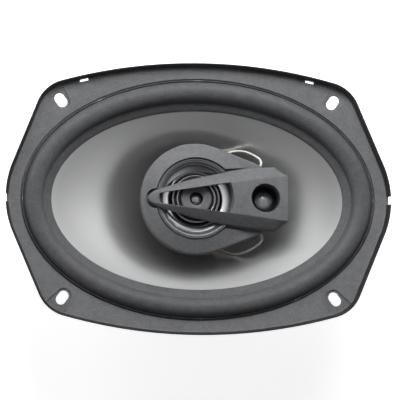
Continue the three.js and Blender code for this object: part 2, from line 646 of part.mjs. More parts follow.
// Window between the two legs, closed on the right by an arc round the unit's axis.
const windowArc = 22.3;
const windowShape = new THREE.Shape();
const windowEnd = Math.asin(9.4 / windowArc);
const legInset = 0.5;
windowShape.moveTo(tipX + 1.6, faceHalf(tipX + 1.6) - legInset);
windowShape.lineTo(tipX + 1.6, -faceHalf(tipX + 1.6) + legInset);
windowShape.absarc(0, 0, windowArc, -windowEnd, windowEnd, false);
bridge = cut(bridge,
  extruded(windowShape, channelZ - 1, flankZ + 12, 10),
  disc(ringRadius + 0.6, channelZ - 1, flankZ - 0.5, mid));
const housingRear = shelfZ - 5;
bridge = join(bridge, disc(11, housingRear, channelZ + 1, mid, superX, 0));
bridge = cut(bridge,
  disc(superHole, housingRear - 1, flankZ + 12, mid, superX, 0),
  disc(9.7, housingRear - 1, channelZ - 1.5, mid, superX, 0),
  ...screwSides.map((side) => disc(1.3, channelZ - 1, channelZ + 3.4, 12, screwX, side * screwY)));
add('bridge', bridge.translate([unitX, 0, 0]), 0x66686b, 0.5, 0.1);

screwSides.forEach((side, i) => {
  const profile = [[0, shelfZ - 1.8], [2.6, shelfZ - 1.8], [2.6, shelfZ], [1.2, shelfZ],
    [1.2, channelZ + 3.2], [0, channelZ + 3.2]];
  add('bridge_screw_' + (i + 1), turned(profile, 12, unitX + screwX, side * screwY), 0x9b9da0, 0.35, 0.9);
});

const superAt = unitX + superX;
const superZ = housingRear - 5;
add('super_tweeter_body', turned([[0, superZ], [9.4, superZ], [9.4, superZ + 5.8], [8, superZ + 5.8],
  [8, superZ + 1], [0, superZ + 1]], 24, superAt), 0x1c1c1e, 0.6, 0);
add('super_tweeter_magnet', turned([[0, superZ + 1], [6.6, superZ + 1], [6.6, superZ + 3.6],
  [4.9, superZ + 3.6], [4.9, superZ + 5.4], [0, superZ + 5.4]], 24, superAt), 0xa9abad, 0.35, 0.8);
add('super_tweeter_suspension', tube(superDome, 9.2, superZ + 5.8, superZ + 6.1, 24, superAt), 0x1c1c1e, 0.8, 0);
add('super_tweeter_ring', tube(7.2, 9.4, superZ + 6.1, channelZ - 1.5, 24, superAt), 0x1c1c1e, 0.6, 0);
add('super_tweeter_dome', dome(superDome, 2.6, superZ + 6.1, 2, 24, superAt), 0xcfd0d2, 0.2, 0.9);

// ---- Front leads, from the cone's eyelets to lugs under the disc's arm ----

const lugX = unitX + 35.5;
for (const side of [1, -1]) {
  const name = side > 0 ? 'upper' : 'lower';
  add('mid_lug_' + name, box(lugX - 2, lugX + 2, side * 16.2 - 1.4, side * 16.2 + 1.4, shelfZ - 0.8, shelfZ),
    0xb59a55, 0.3, 0.9);
  lead('front_lead_' + name, [
    [eyeletX, side * eyeletY, eyeletSeat + 0.85],
    [eyeletX, side * eyeletY, eyeletSeat + 2.4],
    [23.7, side * 31.4, shelfZ - 16],
    [31.9, side * 30, shelfZ - 9.5],
    [39.3, side * 24.4, shelfZ - 6.2],
    [38.6, side * 20.4, shelfZ - 5.6],
    [35.6, side * 17, shelfZ - 3.6],
    [lugX, side * 16.2, shelfZ - 2.2],
    [lugX, side * 16.2, shelfZ - 0.85],
  ], 0.8, 0xc9c2ab);
}

export default group;
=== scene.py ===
import json
import math

import bmesh
import bpy
from mathutils import Matrix, Vector


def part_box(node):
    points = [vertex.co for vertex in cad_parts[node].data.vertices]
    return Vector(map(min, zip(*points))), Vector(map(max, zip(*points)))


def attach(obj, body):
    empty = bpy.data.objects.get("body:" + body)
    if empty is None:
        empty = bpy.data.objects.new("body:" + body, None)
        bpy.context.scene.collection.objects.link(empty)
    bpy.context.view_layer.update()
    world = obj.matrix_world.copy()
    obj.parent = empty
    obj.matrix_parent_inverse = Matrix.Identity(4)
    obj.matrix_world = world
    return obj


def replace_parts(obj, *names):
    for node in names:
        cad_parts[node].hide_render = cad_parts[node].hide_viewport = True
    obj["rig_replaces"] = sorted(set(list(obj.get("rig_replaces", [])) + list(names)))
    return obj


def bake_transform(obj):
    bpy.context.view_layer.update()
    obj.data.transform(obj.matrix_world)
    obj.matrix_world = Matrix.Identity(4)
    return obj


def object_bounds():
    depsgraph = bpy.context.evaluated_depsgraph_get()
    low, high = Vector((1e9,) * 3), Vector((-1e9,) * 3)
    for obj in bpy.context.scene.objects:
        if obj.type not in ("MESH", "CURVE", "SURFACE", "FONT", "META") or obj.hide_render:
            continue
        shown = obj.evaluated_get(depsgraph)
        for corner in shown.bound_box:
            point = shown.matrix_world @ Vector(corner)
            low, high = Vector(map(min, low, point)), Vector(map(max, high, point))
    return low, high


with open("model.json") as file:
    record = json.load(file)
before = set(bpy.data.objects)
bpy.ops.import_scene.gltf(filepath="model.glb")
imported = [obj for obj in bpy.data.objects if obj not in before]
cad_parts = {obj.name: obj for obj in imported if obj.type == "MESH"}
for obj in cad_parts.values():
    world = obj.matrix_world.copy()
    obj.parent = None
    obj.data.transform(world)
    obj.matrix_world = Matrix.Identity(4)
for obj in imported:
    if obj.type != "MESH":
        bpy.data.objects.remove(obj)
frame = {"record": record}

# Sizes below are in millimetres; every mesh is scaled to metres when its piece is made.
mm = 0.001
scene = bpy.context.scene
cadLow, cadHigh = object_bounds()
bodyOf = {node: body for body, nodes in frame["record"]["behaviour"]["bodies"].items() for node in nodes}


def boxOf(node):
    low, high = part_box(node)
    return low / mm, high / mm


def middle(node):
    low, high = boxOf(node)
    return (low.x + high.x) / 2, (low.y + high.y) / 2


# Camera

camera = {
    "leanLeft": 7.8,  # degrees off the speaker's axis
    "leanDown": 7.2,
    "roll": 0.5,
    "distance": 4000,
    "lens": 592,
    "aimRight": 0.49,
    "aimUp": -0.80,
}


def makeCamera(look):
    back = Vector((-math.sin(math.radians(look["leanLeft"])), -math.sin(math.radians(look["leanDown"])), 0))
    back.z = math.sqrt(1 - back.x ** 2 - back.y ** 2)
    right = Vector((0, 1, 0)).cross(back).normalized()
    up = back.cross(right)
    roll = math.radians(look["roll"])
    right, up = right * math.cos(roll) - up * math.sin(roll), up * math.cos(roll) + right * math.sin(roll)
    lipTop = Vector((0, 0, boxOf("basket")[1].z))
    aim = lipTop + right * look["aimRight"] + up * look["aimUp"]
    data = bpy.data.cameras.new("cameraFront")
    data.lens = look["lens"]
    data.clip_start, data.clip_end = 0.1, 20
    cameraObject = bpy.data.objects.new("cameraFront", data)
    turn = Matrix((right, up, back)).transposed().to_4x4()
    cameraObject.matrix_world = Matrix.Translation((aim + back * look["distance"]) * mm) @ turn
    scene.collection.objects.link(cameraObject)
    scene.camera = cameraObject


makeCamera(camera)
print("camera placed")


# Shader groups

def newGroup(name, inputs, outputs):
    group = bpy.data.node_groups.new(name, "ShaderNodeTree")
    kind = "NodeSocketFloat"
    for label, value in inputs.items():
        group.interface.new_socket(name=label, in_out="INPUT", socket_type=kind).default_value = value
    for label in outputs:
        group.interface.new_socket(name=label, in_out="OUTPUT", socket_type=kind)
    return group, group.nodes.new("NodeGroupInput"), group.nodes.new("NodeGroupOutput")


def maths(tree, operation, *values, clamp=False):
    node = tree.nodes.new("ShaderNodeMath")
    node.operation = operation
    node.use_clamp = clamp
    for socket, value in zip(node.inputs, values):
        if isinstance(value, (int, float)):
            socket.default_value = value
        else:
            tree.links.new(value, socket)
    return node.outputs[0]


def noiseOf(tree, vector, scale, detail=2.0, rough=0.5):
    node = tree.nodes.new("ShaderNodeTexNoise")
    node.inputs["Detail"].default_value = detail
    node.inputs["Roughness"].default_value = rough
    tree.links.new(vector, node.inputs["Vector"])
    if isinstance(scale, (int, float)):
        node.inputs["Scale"].default_value = scale
    else:
        tree.links.new(scale, node.inputs["Scale"])
    return node.outputs["Fac"]


def objectPlace(tree):
    return tree.nodes.new("ShaderNodeTexCoord").outputs["Object"]


def spread(tree, value, middleValue, gain, base=0.0):
    # Stretches a value round its middle and holds it between 0 and 1.
    centred = maths(tree, "MULTIPLY", maths(tree, "SUBTRACT", value, middleValue), gain)
    return maths(tree, "ADD", centred, base, clamp=True)


def grainGroup():
    group, given, out = newGroup("fineGrain", {"Scale": 2500, "Contrast": 1.0}, ["Height", "Mask"])
    place = objectPlace(group)
    fine = noiseOf(group, place, given.outputs["Scale"], 3.0, 0.6)
    coarse = noiseOf(group, place, maths(group, "MULTIPLY", given.outputs["Scale"], 0.31), 2.0, 0.5)
    both = maths(group, "ADD", maths(group, "MULTIPLY", fine, 0.65), maths(group, "MULTIPLY", coarse, 0.35))
    group.links.new(both, out.inputs["Height"])
    gain = maths(group, "MULTIPLY", given.outputs["Contrast"], 4.0)
    group.links.new(spread(group, both, 0.5, gain, 0.5), out.inputs["Mask"])
    return group


def edgeWearAndHighlightGroup():
    # Marks sharp convex edges, broken up by noise: real edge wear on some finishes, a painted highlight along
    # edges on others.
    group, given, out = newGroup("edgeWearAndHighlight", {"Start": 0.53, "Spread": 0.08, "Scale": 700}, ["Mask"])
    sharpness = group.nodes.new("ShaderNodeNewGeometry").outputs["Pointiness"]
    rise = maths(group, "DIVIDE", maths(group, "SUBTRACT", sharpness, given.outputs["Start"]),
                 given.outputs["Spread"], clamp=True)
    patchy = noiseOf(group, objectPlace(group), given.outputs["Scale"], 4.0, 0.6)
    broken = spread(group, patchy, 0.35, 4.0)
    group.links.new(maths(group, "MULTIPLY", rise, broken), out.inputs["Mask"])
    return group


def dustGroup():
    group, given, out = newGroup("settledDust", {"Amount": 0.2, "Scale": 120}, ["Mask"])
    normal = group.nodes.new("ShaderNodeNewGeometry").outputs["Normal"]
    split = group.nodes.new("ShaderNodeSeparateXYZ")
    group.links.new(normal, split.inputs[0])
    level = maths(group, "POWER", maths(group, "MAXIMUM", split.outputs["Z"], 0.0), 2.0)
    cloud = noiseOf(group, objectPlace(group), given.outputs["Scale"], 5.0, 0.65)
    patches = spread(group, cloud, 0.38, 3.0)
    amount = maths(group, "MULTIPLY", maths(group, "MULTIPLY", level, patches), given.outputs["Amount"])
    group.links.new(amount, out.inputs["Mask"])
    return group


def turnedGroup():
    # Concentric tool marks round an axis parallel to Z.
    inputs = {"CentreX": 0.0, "CentreY": 0.0, "Scale": 3000}
    group, given, out = newGroup("toolMarks", inputs, ["Height", "Mask"])
    split = group.nodes.new("ShaderNodeSeparateXYZ")
    group.links.new(objectPlace(group), split.inputs[0])
    x = maths(group, "SUBTRACT", split.outputs["X"], given.outputs["CentreX"])
    y = maths(group, "SUBTRACT", split.outputs["Y"], given.outputs["CentreY"])
    squares = [maths(group, "MULTIPLY", side, side) for side in (x, y)]
    reach = maths(group, "SQRT", maths(group, "ADD", *squares))
    join = group.nodes.new("ShaderNodeCombineXYZ")
    group.links.new(reach, join.inputs["X"])
    group.links.new(split.outputs["Z"], join.inputs["Z"])
    marks = noiseOf(group, join.outputs[0], given.outputs["Scale"], 2.0, 0.7)
    group.links.new(marks, out.inputs["Height"])
    group.links.new(spread(group, marks, 0.5, 3.0, 0.5), out.inputs["Mask"])
    return group


def weaveGroup():
    group, given, out = newGroup("plainWeave", {"Pitch": 0.0008}, ["Height", "Mask"])
    split = group.nodes.new("ShaderNodeSeparateXYZ")
    group.links.new(objectPlace(group), split.inputs[0])
    turn = maths(group, "DIVIDE", math.pi, given.outputs["Pitch"])
    waves = [maths(group, "SINE", maths(group, "MULTIPLY", split.outputs[axis], turn)) for axis in "XY"]
    over = maths(group, "MULTIPLY", *waves)
    threads = maths(group, "ADD", maths(group, "ABSOLUTE", waves[0]), maths(group, "ABSOLUTE", waves[1]))
    height = maths(group, "ADD", maths(group, "MULTIPLY", over, 0.3), maths(group, "MULTIPLY", threads, 0.4))
    group.links.new(height, out.inputs["Height"])
    group.links.new(maths(group, "ADD", height, 0.2, clamp=True), out.inputs["Mask"])
    return group


groups = {
    "fineGrain": grainGroup(),
    "edgeWearAndHighlight": edgeWearAndHighlightGroup(),
    "settledDust": dustGroup(),
    "toolMarks": turnedGroup(),
    "plainWeave": weaveGroup(),
}
print("shader groups built")


# Finishes

def placed(tree, group, **values):
    node = tree.nodes.new("ShaderNodeGroup")
    node.node_tree = groups[group]
    for label, value in values.items():
        node.inputs[label].default_value = value
    return node


def mixed(tree, mask, first, second):
    node = tree.nodes.new("ShaderNodeMix")
    node.data_type = "RGBA"
    tree.links.new(mask, node.inputs["Factor"])
    for socket, colour in ((node.inputs[6], first), (node.inputs[7], second)):
        if isinstance(colour, tuple):
            socket.default_value = (*colour, 1)
        else:
            tree.links.new(colour, socket)
    return node.outputs[2]


def finishOf(name, look):
    # Colour and shade mix by tone; roughness is a (smooth, rough) pair.
    material = bpy.data.materials.new(name)
    material.use_nodes = True
    tree = material.node_tree
    shader = tree.nodes["Principled BSDF"]
    shader.inputs["Metallic"].default_value = look.get("metallic", 0.0)
    shader.inputs["Coat Weight"].default_value = look.get("coat", 0.0)
    shader.inputs["Coat Roughness"].default_value = look.get("coatRoughness", 0.1)
    shader.inputs["Specular IOR Level"].default_value = look.get("specular", 0.5)
    shader.inputs["Sheen Weight"].default_value = look.get("sheen", 0.0)
    tone = placed(tree, "fineGrain", Scale=look.get("toneScale", 60), Contrast=look.get("toneContrast", 1.0))
    colour = mixed(tree, tone.outputs["Mask"], look["colour"], look["shade"])
    kind = look.get("grain", "fineGrain")
    if kind == "toolMarks":
        x, y = look.get("centre", (0, 0))
        grain = placed(tree, kind, CentreX=x * mm, CentreY=y * mm, Scale=look["grainScale"])
    elif kind == "plainWeave":
        grain = placed(tree, kind, Pitch=look["pitch"] * mm)
    else:
        grain = placed(tree, kind, Scale=look["grainScale"], Contrast=1.0)
    if "speck" in look:
        colour = mixed(tree, grain.outputs["Mask"], colour, look["speck"])
    # Light colour on sharp edges: edge wear on the ferrite, a painted highlight on the lip, surround and trim
    # ring.
    if "wearAndHighlight" in look:
        wearAndHighlight = placed(tree, "edgeWearAndHighlight", Start=look["wearAndHighlightStart"])
        colour = mixed(tree, wearAndHighlight.outputs["Mask"], colour, look["wearAndHighlight"])
    if "dust" in look:
        dust = placed(tree, "settledDust", Amount=look["dust"])
        colour = mixed(tree, dust.outputs["Mask"], colour, (0.42, 0.41, 0.39))
    tree.links.new(colour, shader.inputs["Base Color"])
    smooth, rough = look["roughness"]
    ramp = tree.nodes.new("ShaderNodeMapRange")
    ramp.inputs["To Min"].default_value = smooth
    ramp.inputs["To Max"].default_value = rough
    tree.links.new(grain.outputs["Mask"], ramp.inputs["Value"])
    tree.links.new(ramp.outputs["Result"], shader.inputs["Roughness"])
    bump = tree.nodes.new("ShaderNodeBump")
    bump.inputs["Strength"].default_value = look.get("bump", 0.3)
    bump.inputs["Distance"].default_value = look.get("depth", 0.05) * mm
    tree.links.new(grain.outputs["Height"], bump.inputs["Height"])
    tree.links.new(bump.outputs["Normal"], shader.inputs["Normal"])
    return material


unitCentre = middle("mid_trim_ring")
superCentre = middle("super_tweeter_dome")
finishes = {
    "basketPaint": {"colour": (0.125, 0.128, 0.134), "shade": (0.116, 0.119, 0.125), "toneScale": 220,
                    "speck": (0.178, 0.181, 0.188), "grainScale": 850, "roughness": (0.42, 0.62), "bump": 0.7,
                    "depth": 0.10, "dust": 0.03},
    # The lip's near-black colour is painted shade on the steep lip wall, and its lighter edges are a painted
    # highlight.
    "lipPaintedShade": {"colour": (0.012, 0.012, 0.013), "shade": (0.020, 0.020, 0.022), "toneScale": 60,
                 "grainScale": 2600, "roughness": (0.40, 0.60), "bump": 0.4, "depth": 0.05,
                 "wearAndHighlight": (0.10, 0.10, 0.105), "wearAndHighlightStart": 0.57},
    # The surround's light edge colour is a painted highlight along its bead and roll.
    "surroundRubber": {"colour": (0.070, 0.072, 0.077), "shade": (0.063, 0.065, 0.070), "toneScale": 220,
                       "speck": (0.108, 0.110, 0.116), "grainScale": 850, "roughness": (0.40, 0.58),
                       "bump": 0.6, "depth": 0.08, "wearAndHighlight": (0.42, 0.42, 0.43), "wearAndHighlightStart": 0.58,
                       "dust": 0.03},
    "coneFilm": {"colour": (0.80, 0.805, 0.81), "shade": (0.78, 0.785, 0.79), "toneScale": 30,
                 "grainScale": 2200, "roughness": (0.30, 0.40), "bump": 0.05, "depth": 0.01,
                 "metallic": 0.90, "coat": 0.30, "coatRoughness": 0.08},
    "unitPlastic": {"colour": (0.120, 0.123, 0.130), "shade": (0.111, 0.114, 0.121), "toneScale": 240,
                    "speck": (0.165, 0.168, 0.175), "grainScale": 900, "roughness": (0.38, 0.54),
                    "bump": 0.6, "depth": 0.08, "dust": 0.02},
    # The trim ring's plastic is a lighter copy of the unit's: painted light where the disc shades the ring,
    # with a painted highlight on the rib edges.
    "ribPlasticPaintedLight": {"colour": (0.23, 0.233, 0.238), "shade": (0.20, 0.203, 0.208), "toneScale": 200,
                   "grainScale": 2600, "roughness": (0.28, 0.42), "bump": 0.3, "depth": 0.04,
                   "wearAndHighlight": (0.42, 0.42, 0.43), "wearAndHighlightStart": 0.55},
    "blackPlastic": {"colour": (0.010, 0.010, 0.011), "shade": (0.016, 0.016, 0.018), "toneScale": 80,
                     "grainScale": 2600, "roughness": (0.32, 0.50), "bump": 0.3, "depth": 0.03},
    "blackCloth": {"colour": (0.012, 0.012, 0.013), "shade": (0.022, 0.022, 0.024), "toneScale": 300,
                   "grain": "plainWeave", "pitch": 0.5, "roughness": (0.80, 0.95), "bump": 0.6, "depth": 0.12,
                   "sheen": 0.3},
    "spiderCloth": {"colour": (0.45, 0.27, 0.08), "shade": (0.36, 0.20, 0.055), "toneScale": 120,
                    "speck": (0.22, 0.12, 0.03), "grain": "plainWeave", "pitch": 0.9,
                    "roughness": (0.62, 0.9), "bump": 0.7, "depth": 0.25},
    "ferrite": {"colour": (0.028, 0.028, 0.030), "shade": (0.045, 0.044, 0.044), "toneScale": 90,
                "speck": (0.065, 0.063, 0.060), "grainScale": 900, "roughness": (0.55, 0.85), "bump": 0.5,
                "depth": 0.12, "wearAndHighlight": (0.10, 0.10, 0.10), "wearAndHighlightStart": 0.54, "dust": 0.15},
    "platedSteel": {"colour": (0.52, 0.52, 0.53), "shade": (0.44, 0.445, 0.46), "toneScale": 60,
                    "grain": "toolMarks", "grainScale": 1500, "roughness": (0.24, 0.42), "bump": 0.3,
                    "depth": 0.05, "metallic": 1.0, "dust": 0.10},
    "unitSteel": {"colour": (0.50, 0.50, 0.51), "shade": (0.42, 0.425, 0.44), "toneScale": 90,
                  "grain": "toolMarks", "centre": unitCentre, "grainScale": 2500, "roughness": (0.25, 0.42),
                  "bump": 0.3, "depth": 0.04, "metallic": 1.0},
    "smallSteel": {"colour": (0.55, 0.55, 0.56), "shade": (0.45, 0.45, 0.46), "toneScale": 200,
                   "grainScale": 3500, "roughness": (0.25, 0.45), "bump": 0.25, "depth": 0.03,
                   "metallic": 1.0},
    "brightMetal": {"colour": (0.82, 0.82, 0.83), "shade": (0.70, 0.70, 0.72), "toneScale": 200,
                    "grain": "toolMarks", "centre": unitCentre, "grainScale": 5000,
                    "roughness": (0.12, 0.24), "bump": 0.15, "depth": 0.02, "metallic": 1.0},
    "domeMetal": {"colour": (0.74, 0.75, 0.77), "shade": (0.70, 0.71, 0.73), "toneScale": 150,
                  "grainScale": 2600, "roughness": (0.20, 0.28), "bump": 0.05, "depth": 0.01,
                  "metallic": 0.6},
    "midFilm": {"colour": (0.72, 0.73, 0.76), "shade": (0.66, 0.67, 0.71), "toneScale": 120,
                "grainScale": 2400, "roughness": (0.16, 0.24), "bump": 0.06, "depth": 0.01,
                "metallic": 1.0},
    "nickel": {"colour": (0.50, 0.49, 0.47), "shade": (0.42, 0.41, 0.40), "toneScale": 200,
               "grainScale": 3000, "roughness": (0.22, 0.34), "bump": 0.2, "depth": 0.02, "metallic": 1.0},
    "copper": {"colour": (0.58, 0.22, 0.09), "shade": (0.46, 0.16, 0.06), "toneScale": 200,
               "grainScale": 3000, "roughness": (0.25, 0.42), "bump": 0.2, "depth": 0.03, "metallic": 0.9},
    "amberFilm": {"colour": (0.42, 0.20, 0.035), "shade": (0.34, 0.15, 0.025), "toneScale": 90,
                  "grainScale": 1500, "roughness": (0.25, 0.38), "bump": 0.15, "depth": 0.03, "coat": 0.4},
    "fibreBoard": {"colour": (0.16, 0.075, 0.032), "shade": (0.11, 0.050, 0.022), "toneScale": 150,
                   "speck": (0.22, 0.12, 0.06), "grainScale": 1600, "roughness": (0.6, 0.85), "bump": 0.6,
                   "depth": 0.10},
    "brass": {"colour": (0.62, 0.44, 0.18), "shade": (0.50, 0.34, 0.13), "toneScale": 200,
              "grainScale": 3000, "roughness": (0.22, 0.40), "bump": 0.25, "depth": 0.03, "metallic": 1.0},
    "tinsel": {"colour": (0.95, 0.94, 0.90), "shade": (0.84, 0.82, 0.76), "toneScale": 500,
               "grainScale": 5000, "roughness": (0.30, 0.5), "bump": 0.6, "depth": 0.08, "metallic": 0.15},
    "sleeveBlue": {"colour": (0.030, 0.075, 0.22), "shade": (0.022, 0.055, 0.17), "toneScale": 150,
                   "grainScale": 1500, "roughness": (0.2, 0.35), "bump": 0.2, "depth": 0.03, "coat": 0.5},
}
materials = {name: finishOf(name, look) for name, look in finishes.items()}
print("finishes built:", len(materials))


# Mesh helpers

def rounded(before, here, after, ease, steps):
    # A corner turned into a short curve between its neighbours.
    a = here.lerp(before, min(0.45, ease / max((before - here).length, 1e-6)))
    b = here.lerp(after, min(0.45, ease / max((after - here).length, 1e-6)))
    return [a.lerp(here, s / steps).lerp(here.lerp(b, s / steps), s / steps) for s in range(steps + 1)]


def eased(points, radius=0.3, steps=3, closed=True):
    # Rounds the corners of a profile. A third number on a point is its own rounding.
    result = []
    for i, point in enumerate(points):
        here = Vector(point[:2])
        ease = point[2] if len(point) > 2 else radius
        if ease <= 0 or abs(here.x) < 1e-6 or (not closed and i in (0, len(points) - 1)):
            result.append(here)
        else:
            before, after = points[i - 1], points[(i + 1) % len(points)]
            result += rounded(Vector(before[:2]), here, Vector(after[:2]), ease, steps)
    return result


def turned(profile, segments=96, centre=(0, 0)):
    bm = bmesh.new()
    rings = []
    for point in profile:
        if point.x < 1e-6:
            rings.append([bm.verts.new((centre[0], centre[1], point.y))])
            continue
        angles = [2 * math.pi * k / segments for k in range(segments)]
        places = [(centre[0] + point.x * math.cos(a), centre[1] + point.x * math.sin(a)) for a in angles]
        rings.append([bm.verts.new((x, y, point.y)) for x, y in places])
    pairs = list(zip(rings, rings[1:]))
    if len(rings[0]) > 1 or len(rings[-1]) > 1:
        pairs.append((rings[-1], rings[0]))
    for a, b in pairs:
        for k in range(segments):
            j = (k + 1) % segments
            corners = [a[0] if len(a) == 1 else a[k], *([] if len(a) == 1 else [a[j]]),
                       b[0] if len(b) == 1 else b[j], *([] if len(b) == 1 else [b[k]])]
            if len(corners) > 2:
                bm.faces.new(corners)
    bmesh.ops.recalc_face_normals(bm, faces=bm.faces)
    return bm


def lofted(rings, loop=False, shade=None):
    # Skins rings of equal length; shade gives the material index of each band.
    bm = bmesh.new()
    made = [[bm.verts.new(p) for p in ring] for ring in rings]
    pairs = list(zip(made, made[1:]))
    if loop:
        pairs.append((made[-1], made[0]))
    for band, (a, b) in enumerate(pairs):
        for k in range(len(a)):
            j = (k + 1) % len(a)
            face = bm.faces.new((a[k], a[j], b[j], b[k]))
            face.material_index = shade(band) if shade else 0
    if not loop:
        bm.faces.new(list(reversed(made[0])))
        bm.faces.new(made[-1])
    bmesh.ops.recalc_face_normals(bm, faces=bm.faces)
    return bm


def easedRings(rings, radii, steps=3):
    # The same rounding for a closed run of rings, with the ring that each new one comes from.
    result, source = [], []
    for i, ring in enumerate(rings):
        if radii[i] <= 0:
            made = [ring]
        else:
            before, after = rings[i - 1], rings[(i + 1) % len(rings)]
            made = [list(new) for new in zip(*[rounded(p, here, q, radii[i], steps)
                                               for here, p, q in zip(ring, before, after)])]
        result += made
        source += [i] * len(made)
    return result, source


def prism(outline, low, high):
    return lofted([[Vector((x, y, low)) for x, y in outline], [Vector((x, y, high)) for x, y in outline]])


def rectangle(x0, x1, y0, y1):
    return [(x0, y0), (x1, y0), (x1, y1), (x0, y1)]


def circle(radius, centre=(0, 0), count=48, start=0.0):
    return [(centre[0] + radius * math.cos(start + 2 * math.pi * k / count),
             centre[1] + radius * math.sin(start + 2 * math.pi * k / count)) for k in range(count)]


def turn(bm, degrees):
    bmesh.ops.rotate(bm, verts=bm.verts, matrix=Matrix.Rotation(math.radians(degrees), 3, "Z"))
    return bm


def shift(bm, *by):
    bmesh.ops.translate(bm, verts=bm.verts, vec=by)
    return bm


def toObject(name, bm):
    bmesh.ops.scale(bm, vec=(mm, mm, mm), verts=bm.verts)
    mesh = bpy.data.meshes.new(name)
    bm.to_mesh(mesh)
    bm.free()
    made = bpy.data.objects.new(name, mesh)
    scene.collection.objects.link(made)
    return made


def settle(made):
    # Applies the piece's modifiers to its mesh.
    bpy.context.view_layer.update()
    mesh = bpy.data.meshes.new_from_object(made.evaluated_get(bpy.context.evaluated_depsgraph_get()))
    old = made.data
    made.modifiers.clear()
    made.data = mesh
    mesh.name = made.name
    bpy.data.meshes.remove(old)


def carve(made, *tools, how="DIFFERENCE"):
    for tool in tools:
        cutter = toObject("cutter", tool)
        if made.data.materials:
            for material in made.data.materials:
                cutter.data.materials.append(material)
        modifier = made.modifiers.new("carve", "BOOLEAN")
        modifier.object = cutter
        modifier.operation = how
        modifier.solver = "EXACT"
        settle(made)
        bpy.data.objects.remove(cutter)


def bevelled(made, width, angle=40, segments=2):
    modifier = made.modifiers.new("bevel", "BEVEL")
    modifier.width = width * mm
    modifier.segments = segments
    modifier.limit_method = "ANGLE"
    modifier.angle_limit = math.radians(angle)
    settle(made)


def dress(made, finish, nodes, sharp=34):
    # Shading, finish and the CAD nodes it stands for.
    if not made.data.materials:
        made.data.materials.append(materials[finish])
    made.data.shade_smooth()
    made.data.set_sharp_from_angle(angle=math.radians(sharp))
    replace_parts(made, *nodes)
    return made


def ridden(made):
    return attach(made, bodyOf[made["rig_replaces"][0]])


def turnedPiece(name, profile, finish, node, segments=96, centre=(0, 0)):
    return ridden(dress(toObject(name, turned(profile, segments, centre)), finish, [node]))


def plainRing(name, node, finish, inner, outer, ease=0.3, steps=3, **place):
    # A ring of square section, as tall as its solid.
    low, high = boxOf(node)
    corners = [(inner, low.z), (outer, low.z), (outer, high.z), (inner, high.z)]
    turnedPiece(name, eased(corners, ease, steps), finish, node, **place)


# Outlines of the basket

basketLow, basketHigh = boxOf("basket")
coneLow, coneHigh = boxOf("woofer_cone")
basket = {
    "length": 237,
    "width": 2 * basketHigh.y,
    "sheet": 1.2,
    "lipHeight": 4.8,
    "lipFlare": 1.2,
    "cornerRadius": 22.5,
    "endRadius": 56,
    "crownRadius": 312,
    "cornerShare": 0.6565,  # corner arc's centre, as a share of the half length
    "points": 88,  # points in a quarter of each ring
    "spokes": 8,
    "spokeWidth": 14,
    "ribWidth": 2.6,
    "ribHeight": 0.9,
    "windowCorner": 5,
    "slotWidth": 6.2,
    "slotLength": 9,
    "slotLean": 36,
    "slotInX": 34.9,  # from the lip's ends to the slots' centres
    "slotInY": 23.1,
    "padMargin": 1.4,
    "padReach": 8.7,  # from the slot's centre to the lip's foot
    "padSpread": 2.0,
    "padDepth": 0.6,
    "clipWidth": 5.2,
    "clipDepth": 1.25,
    "clipTurn": 12.8,
    "clipShare": 0.585,  # clip slot's place, as a share of the half length
    "clipInY": 10.7,
    "notchWidth": 5,
    "notchDepth": 3.2,
    "rivetCircle": 34,
    "rivetHole": 1.7,
    "floorHole": 24,
}
lipTopZ = basketHigh.z
faceZ = lipTopZ - basket["lipHeight"]
flangeRearZ = faceZ - basket["sheet"]
recessZ = faceZ - 1.2
floorZ = basketLow.z
coneEdge = {"overlap": 4}
coneLength = coneHigh.x - coneEdge["overlap"]
coneWidth = coneHigh.y - coneEdge["overlap"]


def flangeOutline(inset):
    half = basket["length"] / 2
    corner, end, crown = basket["cornerRadius"], basket["endRadius"], basket["crownRadius"]
    cornerX = basket["cornerShare"] * half
    crownY = basket["width"] / 2 - crown
    cornerY = crownY + math.sqrt((crown - corner) ** 2 - cornerX ** 2)
    endX = half - end
    run = math.hypot(cornerX - endX, cornerY)
    flank = math.atan2(cornerY, cornerX - endX) - math.acos((end - corner) / run)
    top = math.atan2(cornerY - crownY, cornerX)
    count = basket["points"]
    steps = [round(count * share) for share in (0.20, 0.08, 0.32)]
    steps.append(count - sum(steps))

    def arc(x, y, radius, a, b, n, first=1):
        return [Vector((x + (radius - inset) * math.cos(a + (b - a) * i / n),
                        y + (radius - inset) * math.sin(a + (b - a) * i / n))) for i in range(first, n + 1)]

    quarter = arc(endX, 0, end, 0, flank, steps[0], 0)
    goal = arc(cornerX, cornerY, corner, flank, flank, 1)[0]
    start = quarter[-1]
    quarter += [start.lerp(goal, i / steps[1]) for i in range(1, steps[1] + 1)]
    quarter += arc(cornerX, cornerY, corner, flank, top, steps[2])
    quarter += arc(0, crownY, crown, top, math.pi / 2, steps[3])
    upper = quarter + [Vector((-p.x, p.y)) for p in reversed(quarter[:-1])]
    return upper + [Vector((p.x, -p.y)) for p in reversed(upper[1:-1])]


bearings = [math.atan2(p.y, p.x) for p in flangeOutline(0)]


def flangeRing(inset, z):
    return [Vector((p.x, p.y, z)) for p in flangeOutline(inset)]


def ovalRing(a, b, z):
    ring = []
    for angle in bearings:
        r = a * b / math.hypot(b * math.cos(angle), a * math.sin(angle))
        ring.append(Vector((r * math.cos(angle), r * math.sin(angle), z)))
    return ring


def rimRing(grow, z):
    return ovalRing(coneLength + grow, coneWidth + grow, z)


def roundRing(radius, z):
    return ovalRing(radius, radius, z)


spiderLow, spiderHigh = boxOf("spider")
spiderRadius = spiderHigh.x
ledgeZ = spiderLow.z
wallLow, wallHigh = ledgeZ + 1, faceZ - 2.6


